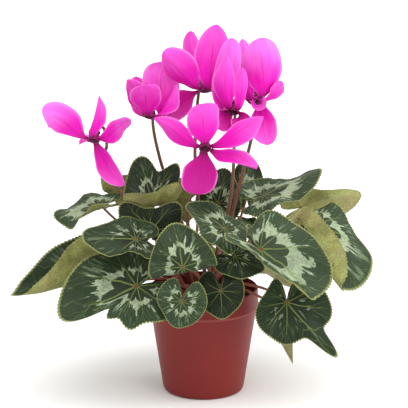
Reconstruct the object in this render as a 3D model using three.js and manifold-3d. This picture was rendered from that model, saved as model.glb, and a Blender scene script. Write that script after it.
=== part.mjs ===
// A potted cyclamen: magenta blooms above marbled heart-shaped leaves, in a plain brick-red pot.
// Millimetres, +Z up. The pot's foot is centred on the origin and the side in the picture faces -Y.
import * as THREE from "three";
import { mergeVertices } from "three/addons/utils/BufferGeometryUtils.js";
import Module from "manifold-3d";

const wasm = await Module();
wasm.setup();

// Driving dimensions.
const GAP = 0.3; // clearance between pieces that touch
const POT = { height: 103, mouth: 52.5, lip: 54, lipAt: 83.8, shoulder: 51.7, foot: 38.8, wall: 1.9 };
const POT_SIDES = 30;
const SOIL_SIDES = 24;
const CORM_SIDES = 16;
const CORM_STEPS = 8;
const DRAIN = { count: 6, ring: 25, radius: 4 };
const SOIL_TOP = 88;
const CORM = { radius: 30, centre: 80, half: 18 };
const TRUNK = { ring: 18, low: 88, high: 103, foot: 5.5, top: 3.4 };
const LEAF = { thick: 0.8, base: 0.5, taper: 5, point: 0.06, pointSpread: 0.3 };
const CLEFT = { deep: 0.92, spread: 0.27 };
const FLAT_RINGS = [0.55, 1];
const CURLED_RINGS = [0.38, 0.72, 1];
const HALF_COLUMNS = [0, 17, 38, 62, 88, 114, 138, 156, 169, 180];
const STALK = { radius: 1.8, sides: 5, steps: 4 };
const SCAPE = { radius: 2, sides: 5, steps: 10, ring: 8, aside: 13 };
const THROAT = { radius: 5.6, depth: 8, bore: 3.9, sides: 8 };
const PETAL = { thick: 1, base: 2.9, broadest: 0.6, across: 4, crease: 0.12 };
const PETAL_ROWS = [0, 0.2, 0.45, 0.7, 0.9];

const PAINT = {
  pot: { color: 0x8e3b35, roughness: 0.55 },
  soil: { color: 0x2b211b, roughness: 0.95 },
  corm: { color: 0x4a3527, roughness: 0.9 },
  stalk: { color: 0x7a4238, roughness: 0.55 },
  scape: { color: 0x5a3020, roughness: 0.5 },
  leaf: { color: 0x3f5941, roughness: 0.5 },
  youngLeaf: { color: 0xa5ab55, roughness: 0.55 },
  petal: { color: 0xe63cbe, roughness: 0.5 },
};

// Each blade: stalk joint, tip, the way its upper face looks, full width, and how it curls.
// A curl turns the blade up (by > 0) past a line `from` mm out in the direction `toward` (0 tip, 90 right).
// A dent bays the edge in (deep > 0) or swells it out (deep < 0) about an angle from the tip, in parts of its
// reach. `sharp` straightens the edge to the tip, and `bow` and `hook` bend the leaf's stalk.
const LEAVES = [
  { at: [-104, -10, 112], tip: [-182, -50, 113], face: [0, 0.05, 1], wide: 100, ripple: 2, sharp: 0.75,
    dents: [{ at: -72, deep: -0.3, spread: 35 }, { at: 50, deep: -0.15, spread: 30 }],
    curls: [{ toward: 90, from: 1, over: 12, by: 66 }, { toward: -90, from: 1, over: 12, by: 85 }] },
  { at: [-98, 9, 181], tip: [-144, -7, 174], face: [0.1, -0.25, 0.95], wide: 58,
    curls: [{ toward: -35, from: 30, over: 10, by: -80 }, { toward: -90, from: 2, over: 10, by: 55 }] },
  { at: [-63, -55, 165], tip: [-113, -67, 172], face: [0.05, -0.65, 0.75], wide: 56,
    dents: [{ at: -62, deep: 0.2, spread: 20 }], curls: [{ toward: -90, from: 3, over: 12, by: 42 }] },
  { at: [-62, -70, 124], tip: [-135, -88, 95], face: [-0.06, -0.83, 0.55], wide: 86, ripple: 3, taper: 1.6,
    dents: [{ at: -14, deep: 0.42, spread: 7.5 }, { at: -34, deep: 0.46, spread: 22 },
      { at: -72, deep: 0.2, spread: 20 }, { at: 130, deep: 0.22, spread: 25 }] },
  { at: [-19, -89, 148], tip: [-27, -68, 187], face: [-0.05, -0.85, 0.52], wide: 65, bow: [0, 0, 12],
    dents: [{ at: -135, deep: 0.15, spread: 25 }],
    curls: [{ toward: 180, from: 1, over: 7, by: -115 }] },
  { at: [-20, -92, 116], tip: [-25, -92.5, 88], face: [0, -0.97, 0.2], wide: 48, ripple: 2,
    dents: [{ at: 45, deep: 0.12, spread: 25 }] },
  { at: [16, -74, 121], tip: [18, -82, 95], face: [0.05, -0.93, 0.35], wide: 46 },
  { at: [-49, -6, 188], tip: [-61, 15, 229], face: [0.1, -0.88, 0.46], wide: 60, taper: 8, dome: 1, ripple: 1,
    cleft: 0.1, hook: 0.12, bow: [0, 4, 8],
    dents: [{ at: 24, deep: 0.16, spread: 10 }, { at: 50, deep: -0.5, spread: 16 },
      { at: 138, deep: -0.3, spread: 22 }, { at: -138, deep: -0.3, spread: 22 }],
    curls: [{ toward: 180, from: 1, over: 9, by: 125 }, { toward: 90, from: 15, over: 8, by: 40 },
      { toward: -90, from: 15, over: 8, by: 40 }] },
  { at: [-74, 38, 190], tip: [-98, 36, 208], face: [-0.25, 0.75, 0.6], wide: 38 },
  { at: [-50, -31, 167], tip: [-50, -27, 189], face: [0.05, -0.95, 0.25], wide: 60, bow: [4, 0, 0],
    dents: [{ at: 45, deep: -0.35, spread: 20 }, { at: -45, deep: -0.35, spread: 20 }],
    curls: [{ toward: 180, from: 3, over: 10, by: -80 }] },
  { at: [-24, 18, 176], tip: [-28, 24, 208], face: [0.35, 0.95, -0.15], wide: 36 },
  { at: [20, -55, 175], tip: [-12, -41, 202], face: [0.5, -0.5, 0.65], wide: 52, bow: [0, 12, 0] },
  { at: [53, -70, 160], tip: [112, -92, 120], face: [0, -0.85, 0.5], wide: 82, taper: 2,
    bow: [12, 12, 12], hook: 0.12,
    dents: [{ at: -20, deep: -0.08, spread: 15 }, { at: -148, deep: 0.4, spread: 22 },
      { at: 65, deep: 0.38, spread: 50 }],
    curls: [{ toward: 90, from: 0.5, over: 6, by: 70 }] },
  { at: [29, -63, 151], tip: [57, -71, 141], face: [0.1, -0.75, 0.65], wide: 42 },
  { at: [58, -2, 194], tip: [113, 3, 219], face: [-0.45, -0.25, 0.85], wide: 60,
    curls: [{ toward: -135, from: 6, over: 12, by: 45 }] },
  { at: [96, 40, 171], tip: [154, 42, 185], face: [-0.1, 0.9, 0.45], wide: 48 },
  { at: [108, -8, 167], tip: [152, -35, 115], face: [0.45, -0.6, 0.65], wide: 80, taper: 2,
    dents: [{ at: -32, deep: -0.1, spread: 20 }],
    curls: [{ toward: 90, from: 15, over: 9, by: 140 }, { toward: 180, from: 8, over: 10, by: -70 }] },
  { at: [78, -66, 107], tip: [78, -80, 69], face: [0.1, -0.9, 0.4], wide: 78, ripple: 3,
    dents: [{ at: -43, deep: -0.8, spread: 8 }, { at: -74, deep: -0.18, spread: 20 },
      { at: 122, deep: 0.42, spread: 58 }, { at: -150, deep: 0.4, spread: 25 }] },
  { at: [74, -36, 92], tip: [89, -42, 40], face: [0.5, 0.8, 0.1], wide: 27, sharp: 1 },
  { at: [14, 28, 178], tip: [21, 36, 212], face: [0, -0.9, 0.4], wide: 46 },
  { at: [50, -23, 165], tip: [31, -28, 177], face: [0.2, -0.6, 0.75], wide: 30 },
  { at: [6, -56, 160], tip: [-7, -58, 163], face: [0.1, -0.7, 0.7], wide: 16, young: true },
  { at: [42, 38, 184], tip: [44, 46, 220], face: [0, -0.8, 0.6], wide: 40 },
  { at: [-65, 60, 140], tip: [-112, 92, 122], face: [-0.25, 0.3, 0.92], wide: 74 },
  { at: [-24, 80, 152], tip: [-36, 136, 134], face: [-0.05, 0.35, 0.93], wide: 74 },
  { at: [26, 84, 160], tip: [38, 142, 144], face: [0.05, 0.35, 0.93], wide: 78 },
  { at: [70, 62, 148], tip: [112, 102, 128], face: [0.3, 0.3, 0.9], wide: 76 },
  { at: [-59, 66, 106], tip: [-90, 98, 80], face: [-0.4, 0.55, 0.7], wide: 62 },
  { at: [-2, 82, 112], tip: [-2, 126, 88], face: [0, 0.7, 0.7], wide: 58 },
  { at: [56, 66, 108], tip: [86, 96, 80], face: [0.4, 0.6, 0.7], wide: 60 },
  { at: [-6, 64, 184], tip: [-16, 106, 184], face: [0, 0.15, 1], wide: 56 },
];

// The leaf stalks leave the tuber in bunches, each from a short trunk `toward` an angle from +X.
const BUNCHES = [
  { name: "stalks_front", toward: -85, leaves: [5, 6, 7, 12, 14, 22] },
  { name: "stalks_left_front", toward: -135, leaves: [3, 4, 10] },
  { name: "stalks_left", toward: 165, leaves: [1, 2, 8, 9] },
  { name: "stalks_right_front", toward: -35, leaves: [13, 18, 19] },
  { name: "stalks_right", toward: 15, leaves: [15, 16, 17, 21] },
  { name: "stalks_back_left", toward: 120, leaves: [11, 24, 25, 28, 31] },
  { name: "stalks_back_right", toward: 62, leaves: [20, 23, 26, 27, 29, 30] },
];

// Six blooms: the throat's mouth, the way it looks, the stalk's foot angle on the tuber and its way up,
// and the gap between petals that the stalk passes. Each petal leaves the throat at `turn` from its top and
// runs `to` its tip; `wide` lies along `across`; `cup` hollows it and `crease` folds it along its middle, in
// parts of its half width; `slant` sets its tip to one side; a `blunt` under 1 squares the tip and one over 1
// draws it out; `twist` turns it about its own length, in degrees.
const BLOOMS = [
  { name: "bloom_left", throat: [-103, -20, 252], mouth: [-0.2, -0.6, -0.75],
    foot: 170, stem: [[-20, -2, 130], [-54, -3, 160], [-76, -7, 194], [-94, -9, 232]], gap: 122,
    petals: [
      { turn: 0, to: [5, 6, 42], wide: 20, across: [0.7, -0.7, 0], cup: 0.3,
        slant: 0.2, blunt: 1.4, crease: 0.4, twist: -35 },
      { turn: 72, to: [34, 8, 20], wide: 28, across: [0, -0.3, 1], cup: -0.1,
        slant: -0.4, blunt: 0.7, crease: 0.2, twist: 25 },
      { turn: 178, to: [24, -14, -42], wide: 20, across: [0.9, -0.3, 0.3], cup: 0.3, end: [0.4, 0.1, -0.9],
        slant: 0.5, blunt: 1.1, crease: 0.2 },
      { turn: 235, to: [-6, 34, -2], wide: 20, across: [1, 0.3, 0.2], cup: 0.2,
        slant: -0.25 },
      { turn: 288, to: [-47, -6, 25], wide: 30, across: [0.1, -0.2, 1], cup: 0.2, end: [-1, 0, -0.35],
        slant: -0.15, blunt: 0.6, crease: 0.1 },
    ] },
  { name: "bloom_left_middle", throat: [-51, 0, 270], mouth: [-0.2, -0.5, -0.85],
    foot: 130, stem: [[-14, 14, 140], [-32, 32, 190], [-42, 22, 225]], gap: 186,
    petals: [
      { turn: 0, to: [-4, -14, 33], wide: 30, across: [1, 0, 0], cup: 0.3,
        slant: 0.1, blunt: 0.8 },
      { turn: 72, to: [27, 2, 30], wide: 20, across: [0.6, -0.7, 0.2], cup: 0.2,
        slant: -0.3, blunt: 1.2, crease: 0.4 },
      { turn: 104, to: [10, 18, 50], wide: 36, across: [1, 0.1, 0], cup: 0.1, end: [0.1, -0.6, 0.8],
        slant: 0.3, blunt: 0.6, crease: 0 },
      { turn: 222, to: [-10, 24, 34], wide: 24, across: [1, -0.3, 0], cup: 0.2, end: [0, -0.2, 1],
        slant: -0.25, crease: 0 },
      { turn: 288, to: [-15, 4, 37], wide: 22, across: [0.8, -0.4, 0.2], cup: 0.2,
        slant: -0.6, blunt: 1.1, crease: 0.1 },
    ] },
  { name: "bloom_top", throat: [1, 15, 292], mouth: [0, -0.45, -0.9],
    foot: 80, stem: [[0, 14, 140], [-8, 22, 220]], gap: 206,
    petals: [
      { turn: 20, to: [10, 8, 63], wide: 34, across: [1, 0, 0], cup: 0.2,
        slant: 0.1, blunt: 1.15, crease: 0.1 },
      { turn: 84, to: [18, -14, -20], wide: 18, across: [0.6, 0.5, -0.4], cup: 0.2,
        slant: -0.25 },
      { turn: 140, to: [-16, 30, 52], wide: 20, across: [1, 0.3, 0], cup: 0.2, end: [-0.1, -0.2, 1],
        slant: 0.25 },
      { turn: 244, to: [-38, 2, -24], wide: 24, across: [0.2, 0.2, 1], cup: 0.3,
        slant: -0.25, blunt: 0.8, crease: 0.3 },
      { turn: 308, to: [-41, -12, 37], wide: 34, across: [0.6, -0.2, 0.75], cup: 0.2, end: [-1, -0.2, 0.5],
        slant: 0.2, blunt: 1.2, crease: 0.4 },
    ] },
  { name: "bloom_front", throat: [1.5, -50, 251], mouth: [0, -0.8, -0.6],
    foot: 250, stem: [[-8, -14, 130], [-15, -24, 180], [-6, -30, 225]],
    petals: [
      { turn: 0, to: [-4, 8, 41], wide: 30, across: [1, 0, 0.1], cup: 0.2,
        slant: 0.3, blunt: 0.6, crease: 0.1 },
      { turn: 65, to: [53, 4, 31], wide: 22, across: [-0.5, 0.2, 0.85], cup: 0.2,
        slant: -0.2, blunt: 1.3, crease: 0.3, twist: 40 },
      { turn: 115, to: [47, -10, -18], wide: 18, across: [0.5, 0.4, 0.5], cup: 0.3,
        slant: 0.3, blunt: 0.8, crease: 0.4, twist: -40 },
      { turn: 185, to: [-8, -10, -41], wide: 33, across: [1, 0, 0], cup: 0.2,
        slant: -0.1, blunt: 0.7, crease: 0.1 },
      { turn: 290, to: [-46, 4, 30], wide: 19, across: [0.5, 0.4, 0.75], cup: 0.2,
        slant: -0.3, blunt: 1.3, crease: 0.35, twist: -40 },
    ] },
  { name: "bloom_middle", throat: [28, -15, 278], mouth: [-0.1, -0.6, -0.75],
    foot: 300, stem: [[10, -10, 130], [26, -12, 195]], gap: 180,
    petals: [
      { turn: 330, to: [-9, -6, 54], wide: 21, across: [1, 0.2, 0], cup: 0.3,
        slant: 0.3, blunt: 1.4, crease: 0.2 },
      { turn: 40, to: [10, 2, 42], wide: 14, across: [1, 0.4, 0], cup: 0.2,
        slant: -0.25 },
      { turn: 110, to: [8, -16, -16], wide: 20, across: [1, 0, 0], cup: 0.2,
        slant: 0.25 },
      { turn: 215, to: [-18, -12, -12], wide: 22, across: [0.6, 0, -0.7], cup: 0.2,
        slant: -0.25 },
      { turn: 270, to: [0, 14, 68], wide: 24, across: [1, 0, 0], cup: 0.2,
        slant: -0.1, blunt: 0.9 },
    ] },
  { name: "bloom_right", throat: [51, 5, 284], mouth: [0.2, -0.6, -0.75],
    foot: 20, stem: [[16, 4, 130], [31, 0, 190]], gap: 167,
    petals: [
      { turn: 20, to: [2, 2, 61], wide: 38, across: [1, 0, 0], cup: 0.2,
        slant: 0.15, crease: 0.2 },
      { turn: 85, to: [22, 4, 20], wide: 22, across: [0.3, -0.3, 0.9], cup: 0.2,
        slant: -0.25 },
      { turn: 145, to: [7, -12, -40], wide: 26, across: [1, 0, 0], cup: 0.2,
        slant: 0.25, blunt: 0.9 },
      { turn: 240, to: [-4, 28, 44], wide: 20, across: [1, 0, 0], cup: 0.2, end: [0, -0.3, 1],
        slant: -0.25 },
      { turn: 300, to: [-12, 14, 58], wide: 18, across: [1, 0.2, 0], cup: 0.2,
        slant: -0.25, blunt: 1.1, crease: 0.2 },
    ] },
];

const vec = (p) => new THREE.Vector3(p[0], p[1], p[2]);
const rad = THREE.MathUtils.degToRad;

// One closed solid from a geometry whose faces point outwards.
function solidOf(geometry) {
  const bare = geometry.index ? geometry.toNonIndexed() : geometry.clone();
  bare.deleteAttribute("normal");
  bare.deleteAttribute("uv");
  const merged = mergeVertices(bare, 1e-4);
  return new wasm.Manifold(
    new wasm.Mesh({
      numProp: 3,
      vertProperties: merged.attributes.position.array,
      triVerts: new Uint32Array(merged.index.array),
    }),
  );
}

// The drawable geometry of a solid, flat-shaded.
function geometryOf(solid) {
  const mesh = solid.getMesh();
  const points = new Float32Array(mesh.numVert * 3);
  for (let i = 0; i < mesh.numVert; i++) {
    points.set(mesh.vertProperties.subarray(i * mesh.numProp, i * mesh.numProp + 3), i * 3);
  }
  const geometry = new THREE.BufferGeometry();
  geometry.setAttribute("position", new THREE.BufferAttribute(points, 3));
  geometry.setIndex(new THREE.BufferAttribute(mesh.triVerts, 1));
  return geometry;
}

// The biggest of the separate bodies a cut has left.
function largest(solid) {
  return solid.decompose().reduce((a, b) => (a.volume() > b.volume() ? a : b));
}

const group = new THREE.Group();

// Adds a named mesh to the plant.
function add(name, solid, paint) {
  const mesh = new THREE.Mesh(geometryOf(solid), new THREE.MeshStandardMaterial({ metalness: 0, ...paint }));
  mesh.name = name;
  group.add(mesh);
}

// A closed skin over two sheets of points that share one set of triangles; `rim` runs clockwise round them.
function skin(upper, lower, triangles, rim) {
  const points = [...upper, ...lower];
  const faces = [];
  const n = upper.length;
  for (const [a, b, c] of triangles) {
    faces.push(a, b, c, n + a, n + c, n + b);
  }
  rim.forEach((a, i) => {
    const b = rim[(i + 1) % rim.length];
    faces.push(a, b, n + b, a, n + b, n + a);
  });
  const geometry = new THREE.BufferGeometry().setFromPoints(points);
  geometry.setIndex(faces);
  return geometry;
}

// ---- Leaves ----

// The outline's distance from the stalk joint at an angle from the tip, in mm; `narrow` closes the cleft.
function outline(leaf, angle, narrow) {
  const long = vec(leaf.tip).distanceTo(vec(leaf.at)) / leaf.wide;
  const toTip = Math.max(0, Math.cos(angle)) ** (leaf.taper ?? LEAF.taper);
  const point = LEAF.point * Math.exp(-((angle / LEAF.pointSpread) ** 2));
  let reach = LEAF.base + (long - LEAF.base - LEAF.point) * toTip + point;
  if (leaf.sharp && Math.abs(angle) < Math.PI / 2) {
    const side = LEAF.base * Math.cos(angle) + long * Math.sin(Math.abs(angle));
    reach = THREE.MathUtils.lerp(reach, (LEAF.base * long) / side, leaf.sharp);
  }
  for (const dent of leaf.dents ?? []) {
    reach *= 1 - dent.deep * Math.exp(-(((angle - rad(dent.at)) / rad(dent.spread)) ** 2));
  }
  const fromCleft = Math.PI - Math.abs(angle);
  reach *= 1 - (leaf.cleft ?? CLEFT.deep) * Math.exp(-((fromCleft / (CLEFT.spread - narrow)) ** 2));
  return leaf.wide * reach;
}

// Rolls a point of the blade up past a line, keeping lengths along the blade.
function curled(point, curl) {
  const way = [Math.sin(rad(curl.toward)), Math.cos(rad(curl.toward))];
  const far = point.x * way[0] + point.y * way[1] - curl.from;
  if (far <= 0) {
    return point;
  }
  const rate = rad(curl.by) / curl.over;
  const turn = rate * Math.min(far, curl.over);
  const rest = Math.max(0, far - curl.over);
  const along = Math.sin(turn) / rate + rest * Math.cos(turn) - point.z * Math.sin(turn);
  const up = (1 - Math.cos(turn)) / rate + rest * Math.sin(turn) + point.z * Math.cos(turn);
  const shift = along - far;
  return new THREE.Vector3(point.x + way[0] * shift, point.y + way[1] * shift, up);
}

// The frame of a blade: x to its right, y to its tip, z out of its upper face.
function leafFrame(leaf) {
  const y = vec(leaf.tip).sub(vec(leaf.at)).normalize();
  const z = vec(leaf.face);
  z.addScaledVector(y, -z.dot(y)).normalize();
  const x = new THREE.Vector3().crossVectors(y, z);
  return new THREE.Matrix4().makeBasis(x, y, z).setPosition(vec(leaf.at));
}

// A point of the blade: `share` of the way out at an angle, `height` above its middle surface.
function leafPoint(leaf, index, angle, share, height, grow) {
  const reach = (outline(leaf, angle, grow * 0.3) + grow) * share;
  const wave = (leaf.ripple ?? 2.5) * Math.sin((leaf.waves ?? 5) * angle + index);
  const lift = (wave - (leaf.dome ?? 3)) * Math.min(1.2, (2 * reach) / leaf.wide) ** 2;
  let point = new THREE.Vector3(reach * Math.sin(angle), reach * Math.cos(angle), lift + height);
  for (const curl of [...(leaf.curls ?? [])].reverse()) {
    point = curled(point, curl);
  }
  return point.applyMatrix4(leafFrame(leaf));
}

// The angles of the blade's spokes, closer together in the cleft.
function leafAngles() {
  const left = HALF_COLUMNS.slice(1, -1).reverse().map((a) => -a);
  return [...left, ...HALF_COLUMNS].map(rad);
}

// A blade of the given thickness, its outline grown by `grow` all round.
function blade(leaf, index, thick = LEAF.thick, grow = 0) {
  const angles = leafAngles();
  const n = angles.length;
  const rings = leaf.curls ? CURLED_RINGS : FLAT_RINGS;
  const sheet = (height) => [
    leafPoint(leaf, index, 0, 0, height, 0),
    ...rings.flatMap((s) => angles.map((a) => leafPoint(leaf, index, a, s, height, grow))),
  ];
  const triangles = [];
  for (let i = 0; i < n; i++) {
    const j = (i + 1) % n;
    triangles.push([0, 1 + j, 1 + i]);
    for (let ring = 1; ring < rings.length; ring++) {
      const inner = 1 + (ring - 1) * n;
      const outer = inner + n;
      triangles.push([inner + i, inner + j, outer + j], [inner + i, outer + j, outer + i]);
    }
  }
  const edge = 1 + (rings.length - 1) * n;
  const rim = angles.map((_, i) => edge + i);
  return solidOf(skin(sheet(thick / 2), sheet(-thick / 2), triangles, rim));
}

const leafName = (index) => "leaf_" + String(index + 1).padStart(2, "0");

LEAVES.forEach((leaf, index) => {
  add(leafName(index), blade(leaf, index), leaf.young ? PAINT.youngLeaf : PAINT.leaf);
});

// ---- Pot, soil and tuber ----

// A full turn of a closed half profile about the upright axis.
function turned(profile, sides) {
  return new THREE.LatheGeometry(profile.map(([r, z]) => new THREE.Vector2(r, z)), sides)
    .rotateX(Math.PI / 2);
}

// The pot's outer radius at a height below its lip.
function wallAt(z) {
  return POT.foot + ((POT.shoulder - POT.foot) * z) / POT.lipAt;
}

function potSolid() {
  const inner = POT.wall;
  const profile = [
    [0, 0], [POT.foot - 3, 0], [POT.foot - 0.8, 0.9], [wallAt(4), 4],
    [POT.shoulder - 0.2, POT.lipAt - 1.2], [POT.lip, POT.lipAt], [POT.lip - 0.6, POT.lipAt + 1.6],
    [POT.mouth, POT.height - 1], [POT.mouth - 0.6, POT.height], [POT.mouth - inner, POT.height],
    [POT.mouth - inner, POT.lipAt + 1], [wallAt(POT.lipAt - 2) - inner, POT.lipAt - 2],
    [wallAt(4) - inner, 4.5], [POT.foot - inner - 2, 2.4], [0, 2.4],
  ];
  let solid = solidOf(turned(profile, POT_SIDES));
  for (let i = 0; i < DRAIN.count; i++) {
    const angle = (i * 2 * Math.PI) / DRAIN.count;
    const hole = new THREE.CylinderGeometry(DRAIN.radius, DRAIN.radius, 8, 6).rotateX(Math.PI / 2);
    hole.translate(DRAIN.ring * Math.cos(angle), DRAIN.ring * Math.sin(angle), 1);
    solid = solid.subtract(solidOf(hole));
  }
  return solid;
}

// Half profile of the tuber grown by `grow`, from its bottom to its top.
function cormProfile(grow) {
  const points = [];
  for (let i = 0; i <= CORM_STEPS; i++) {
    const angle = -Math.PI / 2 + (i * Math.PI) / CORM_STEPS;
    const r = i === 0 || i === CORM_STEPS ? 0 : (CORM.radius + grow) * Math.cos(angle);
    points.push([r, CORM.centre + (CORM.half + grow) * Math.sin(angle)]);
  }
  return points;
}

function soilSolid() {
  const inner = POT.wall + GAP;
  const profile = [
    [0, 2.4 + GAP], [POT.foot - inner - 2, 2.4 + GAP], [wallAt(4) - inner, 4.6],
    [wallAt(POT.lipAt - 2) - inner, POT.lipAt - 2], [POT.mouth - inner, POT.lipAt + 1 + GAP],
    [POT.mouth - inner, SOIL_TOP], [44, SOIL_TOP], [38, SOIL_TOP], [32, SOIL_TOP], [0, SOIL_TOP],
  ];
  const geometry = turned(profile, SOIL_SIDES);
  const at = geometry.getAttribute("position");
  for (let i = 0; i < at.count; i++) {
    const x = at.getX(i);
    const y = at.getY(i);
    if (at.getZ(i) > SOIL_TOP - 0.1 && Math.hypot(x, y) < 46 && Math.hypot(x, y) > 1) {
      at.setZ(i, SOIL_TOP + 1.1 * Math.sin(x * 0.31 + 1) * Math.cos(y * 0.27) + 0.7 * Math.sin(x * 0.9 + y));
    }
  }
  return solidOf(geometry).subtract(solidOf(turned(cormProfile(GAP), CORM_SIDES)));
}

add("pot", potSolid(), PAINT.pot);
add("soil", soilSolid(), PAINT.soil);
add("corm", solidOf(turned(cormProfile(0), CORM_SIDES)), PAINT.corm);

// ---- Stalks ----

// A stalk of even thickness along a curve.
function stalkSolid(curve, { radius, sides, steps }) {
  const ring = [];
  for (let i = 0; i < sides; i++) {
    const angle = (i * 2 * Math.PI) / sides;
    ring.push(new THREE.Vector2(radius * Math.cos(angle), radius * Math.sin(angle)));
  }
  const shape = new THREE.Shape(ring);
  return solidOf(new THREE.ExtrudeGeometry(shape, { steps, bevelEnabled: false, extrudePath: curve }));
}

// Where a bunch of leaf stalks leaves the tuber.
function trunkFoot(toward) {
  return new THREE.Vector3(TRUNK.ring * Math.cos(rad(toward)), TRUNK.ring * Math.sin(rad(toward)), TRUNK.low);
}

// The path of a leaf's stalk: out of its trunk and round to the back of the blade.
function stalkCurve(leaf, toward) {
  const end = vec(leaf.at);
  const trunk = trunkFoot(toward);
  const lean = end.clone().sub(trunk).setZ(0).normalize().multiplyScalar(TRUNK.top * 0.6);
  const foot = trunk.setZ(TRUNK.high - 4).add(lean);
  const face = new THREE.Vector3().setFromMatrixColumn(leafFrame(leaf), 2);
  const tip = new THREE.Vector3().setFromMatrixColumn(leafFrame(leaf), 1);
  const run = end.distanceTo(foot);
  const out = end.clone().sub(foot).setZ(0).normalize().multiplyScalar(leaf.outward ?? 0.6);
  out.z = 1;
  const arrive = face.multiplyScalar(0.8).addScaledVector(tip, 0.45).normalize();
  const bow = vec(leaf.bow ?? [0, 0, 0]);
  return new THREE.CubicBezierCurve3(
    foot,
    foot.clone().addScaledVector(out.normalize(), run * 0.36).add(bow),
    end.clone().addScaledVector(arrive, -run * (leaf.hook ?? 0.22)).addScaledVector(bow, 0.6),
    end,
  );
}

// A bunch: a short trunk on the tuber with every stalk that leaves it.
function bunchSolid(bunch) {
  const tall = TRUNK.high - TRUNK.low;
  const trunk = new THREE.CylinderGeometry(TRUNK.top, TRUNK.foot, tall, 8).rotateX(Math.PI / 2);
  const foot = trunkFoot(bunch.toward);
  trunk.translate(foot.x, foot.y, foot.z + tall / 2);
  let solid = solidOf(trunk);
  for (const number of bunch.leaves) {
    const leaf = LEAVES[number - 1];
    const stalk = stalkSolid(stalkCurve(leaf, bunch.toward), STALK);
    const cut = stalk.subtract(blade(leaf, number - 1, LEAF.thick + 2 * GAP, GAP));
    solid = solid.add(largest(cut));
  }
  return solid.subtract(solidOf(turned(cormProfile(GAP), CORM_SIDES)));
}

BUNCHES.forEach((bunch) => add(bunch.name, bunchSolid(bunch), PAINT.stalk));

// ---- Blooms ----

// The direction out of the throat at a turn from its top, clockwise seen from in front of the mouth.
function petalWay(bloom, turn) {
  const mouth = vec(bloom.mouth).normalize();
  const top = new THREE.Vector3(0, 0, 1).addScaledVector(mouth, -mouth.z).normalize();
  const side = new THREE.Vector3().crossVectors(top, mouth);
  return top.multiplyScalar(Math.cos(turn)).addScaledVector(side, Math.sin(turn));
}

// The middle line of a petal, from inside the throat's wall to its tip.
function petalLine(bloom, petal, way) {
  const mouth = vec(bloom.mouth).normalize();
  const root = vec(bloom.throat).addScaledVector(way, THROAT.radius * 0.85).addScaledVector(mouth, -1);
  const tip = vec(bloom.throat).add(vec(petal.to));
  const long = tip.distanceTo(root);
  const leave = way.clone().addScaledVector(mouth, petal.forward ?? 0.35).normalize();
  const arrive = petal.end ? vec(petal.end).normalize() : tip.clone().sub(root).normalize();
  return new THREE.CubicBezierCurve3(
    root,
    root.clone().addScaledVector(leave, long * 0.24),
    tip.clone().addScaledVector(arrive, -long * 0.35),
    tip,
  );
}

// Half the petal's width at a share of its length.
function petalHalf(petal, u) {
  const rise = Math.min(1, u / PETAL.broadest);
  const half = THREE.MathUtils.lerp(PETAL.base, petal.wide / 2, rise * rise * (3 - 2 * rise));
  const past = Math.max(0, u - PETAL.broadest) / (1 - PETAL.broadest);
  const blunt = petal.blunt ?? 1;
  return half * (1 - past ** (2.4 / blunt)) ** (0.6 * blunt);
}

// A petal as two sheets of points, hollowed across and turned from the throat's rim to `across`.
function petalSolid(bloom, petal) {
  const way = petalWay(bloom, rad(petal.turn));
  const line = petalLine(bloom, petal, way);
  const across = vec(petal.across).normalize();
  const start = new THREE.Vector3().crossVectors(vec(bloom.mouth).normalize(), way);
  if (start.dot(across) < 0) {
    start.negate();
  }
  const point = (u, v, height) => {
    const middle = line.getPoint(u);
    const along = line.getTangent(u);
    const blend = Math.min(1, u / PETAL.broadest);
    const wide = start.clone().lerp(across, blend * blend * (3 - 2 * blend));
    wide.addScaledVector(along, -wide.dot(along)).normalize();
    wide.applyAxisAngle(along, rad(petal.twist ?? 0) * u * u * (3 - 2 * u));
    const out = new THREE.Vector3().crossVectors(along, wide);
    const half = petalHalf(petal, u);
    const fold = (petal.crease ?? PETAL.crease) * half * Math.abs(v) * Math.min(1, 3 * u);
    const hollow = petal.cup * half * v * v * Math.min(1, 2 * u) + fold;
    const aside = petal.slant * petal.wide / 2 * Math.max(0, u - PETAL.broadest) ** 2 / 0.16;
    return middle.addScaledVector(wide, half * v + aside).addScaledVector(out, hollow + height);
  };
  const n = PETAL.across;
  const sheet = (height) => {
    const rows = PETAL_ROWS.flatMap((u) =>
      Array.from({ length: n + 1 }, (_, i) => point(u, (2 * i) / n - 1, height)));
    return [...rows, point(1, 0, height)];
  };
  const tip = PETAL_ROWS.length * (n + 1);
  const triangles = [];
  for (let row = 0; row < PETAL_ROWS.length; row++) {
    for (let i = 0; i < n; i++) {
      const a = row * (n + 1) + i;
      const d = a + n + 1;
      if (row === PETAL_ROWS.length - 1) {
        triangles.push([a, tip, a + 1]);
      } else {
        triangles.push([a, d, d + 1], [a, d + 1, a + 1]);
      }
    }
  }
  const base = Array.from({ length: n + 1 }, (_, i) => i);
  const left = PETAL_ROWS.slice(1).map((_, i) => (i + 1) * (n + 1) + n);
  const right = PETAL_ROWS.slice(1).map((_, i) => (i + 1) * (n + 1)).reverse();
  const half = PETAL.thick / 2;
  return solidOf(skin(sheet(half), sheet(-half), triangles, [...base, ...left, tip, ...right]));
}

// Puts a geometry built about +Z at the throat of a bloom, looking along its mouth.
function placed(bloom, geometry) {
  const turn = new THREE.Quaternion().setFromUnitVectors(
    new THREE.Vector3(0, 0, 1), vec(bloom.mouth).normalize());
  const at = vec(bloom.throat);
  return geometry.applyQuaternion(turn).translate(at.x, at.y, at.z);
}

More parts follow.
